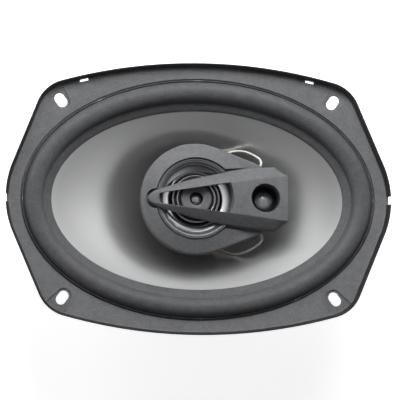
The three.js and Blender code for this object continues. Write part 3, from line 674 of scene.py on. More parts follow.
def wallRing(t, offset, rib=True):
    # A pressed rib runs up each spoke.
    a = spiderRadius + 1.5 + (coneLength + 15.8 - spiderRadius - 1.5) * t + offset
    b = spiderRadius + 1.5 + (coneWidth + 15.8 - spiderRadius - 1.5) * t + offset
    ring = ovalRing(a, b, wallLow + (wallHigh - wallLow) * t)
    swell = math.sin(math.pi * min(max(t, 0), 1)) ** 0.5 if rib else 0
    for p in ring:
        angle = math.atan2(p.y, p.x)
        step = math.pi / 4
        aside = (angle / step - round(angle / step)) * step * math.hypot(p.x, p.y)
        grow = basket["ribHeight"] * swell * math.exp(-(aside / basket["ribWidth"]) ** 2)
        reach = math.hypot(p.x, p.y)
        p.x *= 1 + grow / reach
        p.y *= 1 + grow / reach
    return ring


# Basket

def basketBody():
    sheet, flare = basket["sheet"], basket["lipFlare"]
    stepTop = ledgeZ - sheet
    rear = [
        (flangeRing(0, lipTopZ), 0.35), (flangeRing(flare, flangeRearZ + 1.6), 0.8),
        (flangeRing(flare + 1.4, flangeRearZ), 0.8), (rimRing(20.4, flangeRearZ), 0.8),
        (rimRing(19.9, recessZ - sheet), 0.8), (wallRing(1, 1.2), 0.8),
        *[(wallRing(t, 1.2), 0) for t in (0.85, 0.7, 0.55, 0.4, 0.25, 0.12)],
        (wallRing(0, 1.2), 0.8), (roundRing(spiderRadius + 1.8, stepTop + 0.6), 0.5),
        (roundRing(spiderRadius - 5.4, stepTop), 1.6), (roundRing(spiderRadius - 8.4, floorZ), 1.6),
        (roundRing(basket["floorHole"], floorZ), 0.2),
    ]
    front = [
        (roundRing(basket["floorHole"], floorZ + sheet), 0.2),
        (roundRing(spiderRadius - 9.7, floorZ + sheet), 1.2),
        (roundRing(spiderRadius - 6.6, ledgeZ), 1.2), (roundRing(spiderRadius + 0.6, ledgeZ), 0.4),
        (wallRing(0, 0), 0.6), *[(wallRing(t, 0), 0) for t in (0.12, 0.25, 0.4, 0.55, 0.7, 0.85)],
        (rimRing(15.2, recessZ), 0.8), (rimRing(19.2, recessZ - 0.3), 0.2), (rimRing(19.35, faceZ), 0.3),
        (flangeRing(flare + 1.3, faceZ), 0.3), (flangeRing(flare + 0.95, faceZ + 0.7), 0.3),
        (flangeRing(0.95, lipTopZ), 0.35),
    ]
    both = rear + front
    rings, source = easedRings([ring for ring, ease in both], [ease for ring, ease in both])
    # The lip's inner wall and top take the near-black material: painted shade on the lip.
    lipFront = len(both) - 2
    dark = {0, lipFront, lipFront + 1}

    def lipShade(band):
        a, b = source[band], source[(band + 1) % len(source)]
        return 1 if a in dark and b in dark else 0

    made = toObject("basketPressing", lofted(rings, True, lipShade))
    made.data.materials.append(materials["basketPaint"])
    made.data.materials.append(materials["lipPaintedShade"])
    return made


def spokeWindow(bearing):
    # A wedge with rounded corners, widening outward between two spokes.
    low, high, corner = wallLow + 4, wallHigh - 6, basket["windowCorner"]
    apex = basket["spokeWidth"] / 2 / math.sin(math.pi / 8)
    rings = []
    for reach in (26, 150):
        half = (reach - apex) * math.tan(math.pi / 8)
        ease = min(corner, half * 0.6)
        ring = []
        for cy, cz, first in ((half - ease, high - ease, 0), (-half + ease, high - ease, 90),
                              (-half + ease, low + ease, 180), (half - ease, low + ease, 270)):
            for k in range(7):
                angle = math.radians(first + 15 * k)
                ring.append(Vector((reach, cy + ease * math.cos(angle), cz + ease * math.sin(angle))))
        rings.append(ring)
    return turn(lofted(rings), math.degrees(bearing))


def slotOutline(width, length):
    half = (length - width) / 2
    ends = []
    for side in (1, -1):
        for k in range(13):
            angle = math.radians(90 * (1 - side) + 15 * k)
            ends.append((width / 2 * math.cos(angle), side * half + width / 2 * math.sin(angle)))
    return ends


def padOutline(grow, outward):
    # Round at the inner end, and widening toward the lip.
    half = basket["slotWidth"] / 2 + basket["padMargin"] + grow
    centre = (basket["slotWidth"] - basket["slotLength"]) / 2
    wide, reach = half + basket["padSpread"], basket["padReach"]
    angles = [math.pi * k / 12 for k in range(13)]
    points = [(half * math.cos(a), centre - half * math.sin(a)) for a in angles]
    points += [(-wide, reach), (wide, reach)]
    return [Vector((x * outward, y * outward)) for x, y in reversed(points)]


def makeBasket():
    made = basketBody()
    count = basket["spokes"]
    carve(made, *[spokeWindow(2 * math.pi * (i + 0.5) / count) for i in range(count)])
    slotX, slotY = basket["length"] / 2 - basket["slotInX"], basket["width"] / 2 - basket["slotInY"]
    clipX, clipY = basket["clipShare"] * basket["length"] / 2, basket["width"] / 2 - basket["clipInY"]
    width, length, depth = basket["slotWidth"], basket["slotLength"], basket["padDepth"]
    for sx in (-1, 1):
        for sy in (-1, 1):
            lean = -sx * sy * basket["slotLean"]
            dish = lofted([[Vector((p.x, p.y, faceZ - depth)) for p in padOutline(0, sy)],
                           [Vector((p.x, p.y, faceZ + 0.3)) for p in padOutline(0.25, sy)]])
            mouth = slotOutline(width + 0.9, length + 0.9)
            slot = lofted([[Vector((x, y, faceZ - 3)) for x, y in slotOutline(width, length)],
                           [Vector((x, y, faceZ - depth - 0.25)) for x, y in slotOutline(width, length)],
                           [Vector((x, y, faceZ - depth + 0.2)) for x, y in mouth],
                           [Vector((x, y, faceZ + 1)) for x, y in mouth]])
            halfWidth, halfDepth = basket["clipWidth"] / 2, basket["clipDepth"] / 2
            clip = prism(rectangle(-halfWidth, halfWidth, -halfDepth, halfDepth), faceZ - 3, lipTopZ + 1)
            turn(clip, -sx * sy * basket["clipTurn"])
            carve(made, shift(turn(dish, lean), sx * slotX, sy * slotY, 0),
                  shift(turn(slot, lean), sx * slotX, sy * slotY, 0))
            if sy > 0:  # the grille's clips sit along the upper lip only
                carve(made, shift(clip, sx * clipX, sy * clipY, 0))
        edge, inward, half = sx * basket["length"] / 2, basket["notchDepth"], basket["notchWidth"] / 2
        carve(made, prism(rectangle(edge - inward, edge + inward, -half, half), faceZ + 0.6, lipTopZ + 1))
    for k in range(4):
        angle = math.radians(45 + 90 * k)
        spot = (basket["rivetCircle"] * math.cos(angle), basket["rivetCircle"] * math.sin(angle))
        carve(made, prism(circle(basket["rivetHole"], spot, 24), floorZ - 1, floorZ + 3))
    ridden(dress(made, "basketPaint", ["basket"], 30))


makeBasket()
print("basket pressed and punched")

rivet = {"radius": 3.2, "shank": 1.6, "head": 1.3}
for k in range(4):
    node = "basket_rivet_%d" % (k + 1)
    low, high = boxOf(node)
    seat = high.z - rivet["head"]
    turnedPiece("floorRivet%d" % (k + 1), eased([
        (0, low.z), (rivet["shank"], low.z), (rivet["shank"], seat), (rivet["radius"], seat),
        (rivet["radius"] - 0.2, seat + 0.5), (1.9, high.z), (1.4, high.z - 0.25), (0, high.z - 0.35)],
        0.25, closed=False), "smallSteel", node, segments=40, centre=middle(node))


# Woofer motor

motor = {
    "plateBore": 17.4,
    "plateChamfer": 0.9,
    "magnetBore": 22.5,
    "magnetChamfer": 1.1,
    "poleRadius": 15,
    "poleFoot": 17.2,
    "poleBore": 2.7,
    "headBore": 5.6,  # takes the bolt's head
    "headDepth": 3.4,
    "formerInner": 15.5,
    "formerOuter": 15.9,
}
plateLow, plateHigh = boxOf("top_plate")
magnetLow, magnetHigh = boxOf("magnet")
yokeHigh = boxOf("t_yoke")[1]
topPlate = toObject("topPlateRing", turned(eased([
    (motor["plateBore"], plateLow.z), (plateHigh.x, plateLow.z, motor["plateChamfer"]),
    (plateHigh.x, plateHigh.z, motor["plateChamfer"]), (motor["plateBore"], plateHigh.z)], 0.3), 160))
for k in range(4):
    spot = middle("basket_rivet_%d" % (k + 1))
    carve(topPlate, prism(circle(basket["rivetHole"], spot, 24), plateLow.z + 1, plateHigh.z + 1))
ridden(dress(topPlate, "platedSteel", ["top_plate"]))
turnedPiece("ferriteRing", eased([
    (motor["magnetBore"], magnetLow.z), (magnetHigh.x, magnetLow.z, motor["magnetChamfer"]),
    (magnetHigh.x, magnetHigh.z, motor["magnetChamfer"]), (motor["magnetBore"], magnetHigh.z)], 0.6, 2),
    "ferrite", "magnet", segments=160)
turnedPiece("yokeAndPole", eased([
    (motor["poleBore"], motor["headDepth"]), (motor["headBore"], motor["headDepth"]),
    (motor["headBore"], 0, 0.5),
    (20, 0, 0.2), (20.6, 0.35, 0.2), (22, 0.35, 0.2), (22.6, 0, 0.2),
    (yokeHigh.x, 0, 1.4), (yokeHigh.x, magnetLow.z, 0.6), (motor["poleFoot"], magnetLow.z, 0.6),
    (motor["poleRadius"], magnetLow.z + 1.6, 0.6), (motor["poleRadius"], yokeHigh.z, 0.6),
    (motor["poleBore"], yokeHigh.z)], 0.3), "platedSteel", "t_yoke", segments=160)

formerHigh = boxOf("voice_coil_former")[1]
windingLow, windingHigh = boxOf("voice_coil_winding")
plainRing("coilFormer", "voice_coil_former", "amberFilm", motor["formerInner"], motor["formerOuter"], 0.1, 2,
          segments=120)
winding = {"turns": 24, "valley": 0.45, "crown": 0.68}
wireShape = ((0.1, "valley"), (0.35, "crown"), (0.65, "crown"), (0.9, "valley"))
coil = [(motor["formerOuter"], windingLow.z)]
for k in range(winding["turns"]):
    step = (windingHigh.z - windingLow.z) / winding["turns"]
    for share, out in wireShape:
        coil.append((motor["formerOuter"] + winding[out], windingLow.z + step * (k + share)))
coil.append((motor["formerOuter"], windingHigh.z))
turnedPiece("coilWinding", [Vector(p) for p in coil], "copper", "voice_coil_winding")
plainRing("dustRing", "dust_ring", "blackCloth", 9, motor["formerOuter"], segments=120)
print("motor turned")


# Cone, surround and spider

cone = {"flare": 0.6, "sheet": 0.7, "steps": 16, "leadHole": 1.7}
neckRadius = formerHigh.x + 0.1
neckZ = coneLow.z + cone["sheet"]
rimZ = faceZ - 4.2
landRise, landWidth = 1.5, 5.2


def coneFront(t):
    return neckZ + (rimZ - neckZ) * ((1 + cone["flare"]) * t - cone["flare"] * t * t)


def coneRing(t, lift):
    return ovalRing(neckRadius + (coneLength - neckRadius) * t, neckRadius + (coneWidth - neckRadius) * t,
                    coneFront(t) + lift)


def makeCone():
    stations = [k / cone["steps"] for k in range(cone["steps"] + 1)]
    rim = rimZ + landRise * coneEdge["overlap"] / landWidth
    rear = [coneRing(t, -cone["sheet"]) for t in stations]
    rear.append(rimRing(coneEdge["overlap"], rim - cone["sheet"]))
    front = [coneRing(t, 0) for t in stations] + [rimRing(coneEdge["overlap"], rim)]
    made = toObject("wooferCone", lofted(rear + front[::-1], True))
    for side in ("upper", "lower"):
        node = "cone_eyelet_" + side
        low, high = boxOf(node)
        carve(made, prism(circle(cone["leadHole"], middle(node), 32), low.z - 4, high.z + 4))
    ridden(dress(made, "coneFilm", ["woofer_cone"]))


makeCone()
for side in ("upper", "lower"):
    node = "cone_eyelet_" + side
    low, high = boxOf(node)
    seat = high.z - 0.8
    turnedPiece("eyelet" + side.capitalize(), eased([
        (0, low.z), (1.4, low.z), (1.4, seat), (2.2, seat, 0.2), (1.9, high.z, 0.4), (1.1, high.z, 0.3),
        (0.8, high.z - 0.35), (0, high.z - 0.4)], 0.15, closed=False), "brass", node, segments=40,
        centre=middle(node))

surround = {"roll": 12.2, "height": 5.6, "rubber": 0.9, "outerLand": 1.25, "bead": 0.9, "steps": 22}


def surroundRun(lift):
    start = rimZ + landRise + 0.1
    run = [(0.0, rimZ + 0.1 + lift * 0.2), (0.75, rimZ + 0.25 + lift), (landWidth - 0.9, start - 0.26 + lift),
           (landWidth, start + 0.05 + lift)]
    for k in range(1, surround["steps"]):
        angle = math.pi * k / surround["steps"]
        grow = landWidth + surround["roll"] / 2 * (1 - math.cos(angle))
        base = start + (recessZ - start) * k / surround["steps"]
        run.append((grow, base + surround["height"] * math.sin(angle) + lift))
    edge, z = landWidth + surround["roll"], recessZ + lift
    top = z + surround["bead"] if lift else z
    return run + [(edge, z - 0.1), (edge + 0.3, z), (edge + 0.5, top - 0.15), (edge + 0.65, top),
                  (edge + 0.95, top), (edge + 1.1, top - 0.15), (edge + surround["outerLand"], z - 0.1)]


def radialWeights(made, share):
    # Works out how far each point would follow the moving body, from 0 at the fixed edge to 1 at the moving
    # one; the share is not kept on the mesh.
    for vertex in made.data.vertices:
        t = min(max(share(vertex.co / mm), 0), 1)
    made.data.update()


def bent(made, share):
    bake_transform(made)
    radialWeights(made, share)
    return made


def growOf(p):
    # Distance outside the cone's edge, along the ray from the axis.
    if abs(p.x) + abs(p.y) < 1e-6:
        return -coneWidth
    angle = math.atan2(p.y, p.x)
    reach = coneLength * coneWidth / math.hypot(coneWidth * math.cos(angle), coneLength * math.sin(angle))
    return math.hypot(p.x, p.y) - reach


def makeSurround():
    under, over = surroundRun(0), surroundRun(surround["rubber"])
    rings = [rimRing(grow, z) for grow, z in under] + [rimRing(grow, z) for grow, z in reversed(over)]
    made = dress(toObject("surroundRoll", lofted(rings, True)), "surroundRubber", ["surround"], 50)
    inner, outer = landWidth + 0.4, landWidth + surround["roll"] - 0.2
    bent(made, lambda p: (outer - growOf(p)) / (outer - inner))


makeSurround()

spider = {"waves": 6, "height": 1.8, "cloth": 0.6, "seat": 5.2, "glueWidth": 2.4, "neckRise": 0.9}


def spiderRun(lift):
    inner = formerHigh.x + spider["glueWidth"]
    outer = spiderRadius - spider["seat"]
    run = [(spiderRadius, ledgeZ + lift), (outer, ledgeZ + lift)]
    count = spider["waves"] * 8
    for k in range(1, count):
        wave = 0.5 - 0.5 * math.cos(2 * math.pi * k / 8)
        ease = min(1, k / 6, (count - k) / 6)
        z = ledgeZ + spider["height"] * wave * ease + spider["neckRise"] * (1 - ease) * (k > count / 2)
        run.append((outer + (inner - outer) * k / count, z + lift))
    neck = ledgeZ + spider["neckRise"] + lift
    return run + [(inner, neck), (formerHigh.x + 0.15, neck)]


def makeSpider():
    profile = [Vector(p) for p in spiderRun(0) + spiderRun(spider["cloth"])[::-1]]
    made = dress(toObject("spiderDisc", turned(profile, 160)), "spiderCloth", ["spider"], 60)
    outer, inner = spiderRadius - spider["seat"], formerHigh.x + spider["glueWidth"]
    bent(made, lambda p: (outer - math.hypot(p.x, p.y)) / (outer - inner))


makeSpider()
print("cone, surround and spider formed")


# Terminals

board = {"half": 11, "gap": 0.3}
blade = {"thick": 0.8, "hole": 0.9, "holeIn": 3.2, "corner": 1.3}
boardLow, boardHigh = boxOf("terminal_board")


def makeBoard():
    radius = spiderRadius - 5.4 + board["gap"]
    outline = []
    for k in range(17):
        angle = math.asin(board["half"] / radius) * (k / 8 - 1)
        outline.append((radius * math.cos(angle), radius * math.sin(angle)))
    outline += [(boardHigh.x, board["half"]), (boardHigh.x, -board["half"])]
    made = toObject("terminalBoard", prism(outline, boardLow.z, boardHigh.z))
    bevelled(made, 0.35)
    ridden(dress(made, "fibreBoard", ["terminal_board"]))


def makeBlade(name, node):
    low, high = boxOf(node)
    thick, corner, y = blade["thick"], blade["corner"], (low.y + high.y) / 2
    half = (high.y - low.y) / 2
    side = eased([(low.x, high.z, 0.1), (low.x, low.z, 1.2), (high.x, low.z, 0.15),
                  (high.x, low.z + thick, 0.15), (low.x + thick, low.z + thick, 0.5),
                  (low.x + thick, high.z, 0.1)], 0.1, 4)
    rings = [[Vector((p.x, y + edge, p.y)) for p in side] for edge in (-half, half)]
    made = toObject(name, lofted(rings))
    carve(made, prism(circle(blade["hole"], (high.x - blade["holeIn"], y), 24), low.z - 1, low.z + 2))
    for up in (1, -1):
        cutOff = [(high.x + 0.5, y + up * (half - corner)), (high.x + 0.5, y + up * (half + 0.5)),
                  (high.x - corner, y + up * (half + 0.5))]
        carve(made, prism(cutOff[::up], low.z - 1, low.z + 2))
    bevelled(made, 0.1, 50)
    ridden(dress(made, "smallSteel", [node]))


makeBoard()
makeBlade("bladePositive", "terminal_positive")
makeBlade("bladeNegative", "terminal_negative")
for k in (1, 2):
    node = "board_rivet_%d" % k
    low, high = boxOf(node)
    bm = turned(eased([(0, 0), (1.3, 0), (1.25, 0.5), (0.9, 1.0), (0, 1.0)], 0.25, closed=False), 32)
    bmesh.ops.rotate(bm, verts=bm.verts, matrix=Matrix.Rotation(math.pi / 2, 3, "Y"))
    shift(bm, low.x, (low.y + high.y) / 2, (low.z + high.z) / 2)
    ridden(dress(toObject("boardRivet%d" % k, bm), "smallSteel", [node]))
print("terminals fitted")


# Tinsel leads

lead = {"radius": 0.8, "strands": 5, "strand": 0.42, "pitch": 4.2, "steps": 90, "sides": 8}


def smoothPath(points, steps):
    # Centripetal curve through the points.
    p = [Vector(q) for q in points]
    p = [p[0] * 2 - p[1]] + p + [p[-1] * 2 - p[-2]]
    path = []
    spans = len(p) - 3
    for s in range(steps + 1):
        place = min(s / steps * spans, spans - 1e-9)
        i, t = int(place), place - int(place)
        a, b, c, d = p[i:i + 4]
        gaps = [math.sqrt((v - u).length) for u, v in ((a, b), (b, c), (c, d))]
        m1 = ((b - a) / gaps[0] - (c - a) / (gaps[0] + gaps[1]) + (c - b) / gaps[1]) * gaps[1]
        m2 = ((c - b) / gaps[1] - (d - b) / (gaps[1] + gaps[2]) + (d - c) / gaps[2]) * gaps[1]
        path.append(b + m1 * t + (-3 * b + 3 * c - 2 * m1 - m2) * t ** 2 + (2 * b - 2 * c + m1 + m2) * t ** 3)
    return path


def braided(path):
    bm = bmesh.new()
    along, total = [0.0], 0.0
    for a, b in zip(path, path[1:]):
        total += (b - a).length
        along.append(total)
    across = None
    frames = []
    for k, here in enumerate(path):
        ahead = (path[min(k + 1, len(path) - 1)] - path[max(k - 1, 0)]).normalized()
        across = across - ahead * across.dot(ahead) if across else ahead.orthogonal()
        across.normalize()
        frames.append((here, ahead, across, ahead.cross(across)))
    middleRadius = lead["radius"] - lead["strand"]
    for strand in range(lead["strands"]):
        rings = []
        for (here, ahead, u, v), distance in zip(frames, along):
            angle = 2 * math.pi * (strand / lead["strands"] + distance / lead["pitch"])
            out = u * math.cos(angle) + v * math.sin(angle)
            side = ahead.cross(out)
            core = here + out * middleRadius
            rings.append([core + (out * math.cos(w) + side * math.sin(w)) * lead["strand"]
                          for w in (2 * math.pi * q / lead["sides"] for q in range(lead["sides"]))])
        made = [[bm.verts.new(p) for p in ring] for ring in rings]
        for a, b in zip(made, made[1:]):
            for q in range(lead["sides"]):
                r = (q + 1) % lead["sides"]
                bm.faces.new((a[q], a[r], b[r], b[q]))
        bm.faces.new(made[0][::-1])
        bm.faces.new(made[-1])
    bmesh.ops.recalc_face_normals(bm, faces=bm.faces)
    return bm


def alongShare(path):
    # Share of the path's length at the nearest path point.
    lengths = [0.0]
    for a, b in zip(path, path[1:]):
        lengths.append(lengths[-1] + (b - a).length)

    def share(p):
        nearest = min(range(len(path)), key=lambda k: (path[k] - p).length_squared)
        return lengths[nearest] / lengths[-1]
    return share


eyeletLow, eyeletHigh = boxOf("cone_eyelet_upper")
eyeletX, eyeletY = middle("cone_eyelet_upper")
lugX, lugY = middle("mid_lug_upper")
shelfZ = boxOf("mid_lug_upper")[1].z
sillX = spiderRadius + 1.5 + (coneLength + 14.3 - spiderRadius) * 4 / (wallHigh - wallLow) + basket["sheet"]


def rearRoute(side):
    startX, boardZ = boardHigh.x + 1.2, boardLow.z + 4.5
    under = eyeletLow.z + 3.4
    return [
        (startX, side * 6, boardZ + 4.6), (startX + 5, side * 8, boardZ + 7),
        (sillX + 2.5, side * 12, wallLow + 7), (startX + 2, side * 17, boardZ + 21),
        (30, side * 25, under - 7.5), (17, side * 28.5, under - 7.5),
        (eyeletX, side * eyeletY, under - 5.5), (eyeletX, side * eyeletY, under - 3.45)]


def frontRoute(side):
    seat = eyeletHigh.z - 0.8
    return [
        (eyeletX, side * eyeletY, seat + 0.85), (eyeletX, side * eyeletY, seat + 2.4),
        (23.7, side * 31.4, shelfZ - 16), (31.9, side * 30, shelfZ - 9.5), (39.3, side * 24.4, shelfZ - 6.2),
        (38.6, side * 20.4, shelfZ - 5.6), (35.6, side * 17, shelfZ - 3.6), (lugX, side * lugY, shelfZ - 2.2),
        (lugX, side * lugY, shelfZ - 0.85)]


for side, word in ((1, "Positive"), (-1, "Negative")):
    path = smoothPath(rearRoute(side), lead["steps"])
    made = dress(toObject("rearLead" + word, braided(path)), "tinsel", ["rear_lead_" + word.lower()], 60)
    bent(made, lambda p, near=alongShare(path): near(p))
for side, word in ((1, "Upper"), (-1, "Lower")):
    path = smoothPath(frontRoute(side), lead["steps"])
    made = dress(toObject("frontLead" + word, braided(path)), "tinsel", ["front_lead_" + word.lower()], 60)
    bent(made, lambda p, near=alongShare(path): 1 - near(p))
    low, high = boxOf("mid_lug_" + word.lower())
    lug = toObject("lug" + word, prism(rectangle(low.x, high.x, low.y, high.y), low.z, high.z))
    bevelled(lug, 0.25)
    ridden(dress(lug, "brass", ["mid_lug_" + word.lower()]))
print("leads braided")


# Centre post and its bolt

post = {
    "bore": 2.7,
    "end": 7.5,  # radius at both ends, and waist between them
    "waist": 7.0,
    "boltRadius": 2.4,
    "boltHead": 4.8,
    "headHeight": 2.8,
    "socket": 2.3,
    "nut": 4.7,
    "nutBore": 2.5,
}
postLow, postHigh = boxOf("center_post")
boltLow, boltHigh = boxOf("post_bolt")
nutLow, nutHigh = boxOf("post_nut")
boltSeat = boltLow.z + post["headHeight"]
turnedPiece("centrePost", eased([
    (post["bore"], postLow.z), (post["end"], postLow.z, 0.6), (post["end"], postLow.z + 6),
    (post["waist"], postLow.z + 7), (post["waist"], postHigh.z - 4), (post["end"], postHigh.z - 3),
    (post["end"], postHigh.z, 0.4), (post["bore"], postHigh.z)], 0.3),
    "blackPlastic", "center_post", segments=72)
bolt = toObject("postBolt", turned(eased([
    (0, boltLow.z), (post["boltHead"], boltLow.z, 0.6), (post["boltHead"], boltSeat, 0.2),
    (post["boltRadius"], boltSeat, 0.2), (post["boltRadius"], boltHigh.z, 0.5), (0, boltHigh.z)],
    0.2, closed=False), 48))
carve(bolt, prism(circle(post["socket"], (0, 0), 6), boltLow.z - 1, boltLow.z + 1.7))
ridden(dress(bolt, "smallSteel", ["post_bolt"]))
nut = toObject("postNut", prism(circle(post["nut"], (0, 0), 6), nutLow.z, nutHigh.z))
carve(nut, prism(circle(post["nutBore"], (0, 0), 40), nutLow.z - 1, nutHigh.z + 1))
bevelled(nut, 0.3)
ridden(dress(nut, "smallSteel", ["post_nut"]))


# Mid-range unit

coverLow, coverHigh = boxOf("mid_rear_cover")
midYokeLow, midYokeHigh = boxOf("mid_yoke")
cover = {
    "wall": 1.6,
    "slant": 12.4,
    "radius": coverHigh.x - unitCentre[0],
    "floor": 18,
    "seatInner": 12,  # ring that the motor stands on
    "seatOuter": 15.5,
    "groove": 0.5,
    "boltHole": 2.75,
}


def makeCover():
    z, outer, wall, slant = coverLow.z, cover["radius"], cover["wall"], cover["slant"]
    inner, outerSeat, waist = cover["seatInner"], cover["seatOuter"], cover["radius"] - cover["groove"]
    made = toObject("rearCover", turned(eased([
        (2.7, z), (cover["floor"], z, 1.2), (outer, z + slant, 1.6), (outer, z + slant + 3),
        (waist, z + slant + 3.4), (waist, coverHigh.z - 4.4), (outer, coverHigh.z - 4), (outer, coverHigh.z),
        (outer - wall, coverHigh.z), (outer - wall, z + slant + 1, 1.0),
        (cover["floor"] - 0.6, z + wall, 1.0), (outerSeat, z + wall), (outerSeat, midYokeLow.z),
        (inner, midYokeLow.z), (inner, z + wall),
        (7.9, z + wall), (2.7, z + wall)], 0.3), 144, unitCentre))
    carve(made, prism(circle(cover["boltHole"], (0, 0), 40), z - 1, z + wall + 1))
    ridden(dress(made, "blackPlastic", ["mid_rear_cover"]))


makeCover()

baffleLow, baffleHigh = boxOf("mid_baffle")
bridgeLow, bridgeHigh = boxOf("bridge")
disc = {
    "radius": baffleLow.x * -1 + unitCentre[0],
    "armX": 41,
    "armY": 20.7,
    "wall": 1.8,
    "opening": 21.9,
    "rebate": 25.1,
    "flat": 24.3,  # radius from which the face falls
    "innerZ": baffleHigh.z,
    "slope": 0.33,
    "armSlope": 0.10,
    "edge": 0.8,
    "steps": 8,
    "channelX": 16,
    "channelY": 18.1,
    "tipHole": 6.1,
    "tipDepth": 0.7,
    "superHole": 11.4,
    "screwX": 33,
    "screwY": 11,
}
channelZ = shelfZ + 1
tipX = -24.8
superX = superCentre[0] - unitCentre[0]


def teardrop(inset):
    # The disc's outline: an arc of the circle, two tangents and the arm's end.
    x, y = disc["armX"], disc["armY"]
    radius = disc["radius"]
    tangent = math.atan2(y, x) + math.acos(radius / math.hypot(x, y))
    points = []
    for k in range(121):
        angle = tangent + (2 * math.pi - 2 * tangent) * k / 120
        points.append(Vector((radius * math.cos(angle), radius * math.sin(angle))))
    corners = [points[-1], Vector((x, -y)), Vector((x, y)), points[0]]
    edge = []
    for a, b, count in zip(corners, corners[1:], (26, 28, 26)):
        edge += [a.lerp(b, k / count) for k in range(1, count + 1)]
    outline = points + edge[:-1]
    for i, here in enumerate(outline):
        for corner in (corners[1], corners[2]):
            if (here - corner).length < 1e-6:
                outline[i] = here.lerp((outline[i - 1] + outline[(i + 1) % len(outline)]) / 2, 0.5)
    if not inset:
        return outline
    moved = []
    count = len(outline)
    for i, here in enumerate(outline):
        run = outline[(i + 1) % count] - outline[i - 1]
        moved.append(here + Vector((-run.y, run.x)).normalized() * inset)
    return moved


def faceHeight(p):
    # The face falls outward, and less steeply along the arm.
    beyond = max(p.length - disc["radius"], 0)
    fall = disc["slope"] * max(p.length - disc["flat"] - beyond, 0) + disc["armSlope"] * beyond
    return disc["innerZ"] - fall


def makeDisc():
    low, edge, wall = baffleLow.z, disc["edge"], teardrop(disc["wall"])
    opening = [p * (disc["opening"] / p.length) for p in wall]
    levels = ((opening, shelfZ), (wall, shelfZ), (wall, low), (teardrop(0.25), low),
              (teardrop(0), low + 0.25))
    rings = [[Vector((p.x, p.y, z)) for p in outline] for outline, z in levels]
    for k in range(6):
        angle = math.pi / 2 * k / 5
        ring = teardrop(edge * (1 - math.cos(angle)))
        rings.append([Vector((p.x, p.y, faceHeight(p) - edge * (1 - math.sin(angle)))) for p in ring])
    inside = teardrop(edge)
    for k in range(1, disc["steps"] + 1):
        ring = []
        for p in inside:
            inner = p * ((disc["rebate"] + 0.35) / p.length)
            q = p.lerp(inner, k / disc["steps"])
            ring.append(Vector((q.x, q.y, faceHeight(q))))
        rings.append(ring)
    for radius, z in ((disc["rebate"] + 0.1, disc["innerZ"] - 0.08), (disc["rebate"], disc["innerZ"] - 0.3),
                      (disc["rebate"], shelfZ + 0.8), (disc["opening"], shelfZ + 0.8)):
        rings.append([Vector((q.x * radius / q.length, q.y * radius / q.length, z)) for q in inside])
    made = toObject("frontDisc", shift(lofted(rings, True), unitCentre[0], 0, 0))
    x, y = disc["channelX"], disc["channelY"]
    endX, endY = disc["armX"] + 2, disc["armY"] - 0.1
    above = disc["innerZ"] + 2
    tools = [prism([(x, -y), (endX, -endY), (endX, endY), (x, y), (0, 0)], channelZ - 0.5, above),
             prism(circle(disc["tipHole"], (tipX, 0), 64), channelZ - disc["tipDepth"], above),
             prism(circle(disc["superHole"], (superX, 0), 96), shelfZ - 6, above)]
    for side in (1, -1):
        spot = (disc["screwX"], side * disc["screwY"])
        tools.append(prism(circle(1.5, spot, 32), shelfZ - 2, above))
    carve(made, *[shift(tool, unitCentre[0], 0, 0) for tool in tools])
    ridden(dress(made, "unitPlastic", ["mid_baffle"], 30))


makeDisc()

trimLow, trimHigh = boxOf("mid_trim_ring")
trim = {"ribs": 112, "ribHeight": 0.45, "gapDepth": 1.1, "inner": 22, "outer": trimHigh.x - unitCentre[0]}


def makeTrimRing():
    # A rim, a narrow gap and fine ribs across the rest of the face. The third number is the share of a rib.
    low, high, inner, outer = trimLow.z, trimHigh.z, trim["inner"], trim["outer"]
    gapFloor = high - trim["gapDepth"]
    profile = [(outer, low, 0), (outer, high - 0.5, 0), (outer - 0.2, high - 0.15, 0),
               (outer - 0.5, high - 0.15, 0), (outer - 0.55, gapFloor, 0), (outer - 1.0, gapFloor, 0),
               (outer - 1.05, high - 0.5, 1), (inner + 0.5, high - 0.9, 1), (inner + 0.2, high - 1.1, 0),
               (inner, high - 1.4, 0), (inner, low, 0)]
    count = trim["ribs"] * 4
    rings = []
    for r, z, ribbed in profile:
        ring = []
        for k in range(count):
            angle = 2 * math.pi * k / count
            lift = trim["ribHeight"] * (0.5 + 0.5 * math.cos(angle * trim["ribs"])) * ribbed
            ring.append(Vector((unitCentre[0] + r * math.cos(angle), r * math.sin(angle), z + lift)))
        rings.append(ring)
    # The ring's lighter plastic is painted light in the disc's shadow.
    ridden(dress(toObject("trimRing", lofted(rings, True)), "ribPlasticPaintedLight", ["mid_trim_ring"], 40))


makeTrimRing()

suspension = {"land": 23.4, "outer": 21.9, "crown": 21.2, "inner": 20.6, "lip": 20.2}


def makeMidSurround():
    z, outer, inner = shelfZ, suspension["outer"], suspension["inner"]
    land, crown, lip = suspension["land"], suspension["crown"], suspension["lip"]
    section = [(lip, z + 0.1), (inner, z + 0.1), (crown, z + 1.1, 0.4), (outer, z + 0.8),
               (land, z + 0.8, 0.05), (land, z + 1.2, 0.05), (outer, z + 1.2), (crown, z + 1.6, 0.5),
               (lip, z + 0.5, 0.1)]
    made = toObject("midSurround", turned(eased(section, 0.2), 144, unitCentre))
    dress(made, "surroundRubber", ["mid_surround"], 50)
    bent(made, lambda p: (outer - math.hypot(p.x - unitCentre[0], p.y)) / (outer - inner))


makeMidSurround()

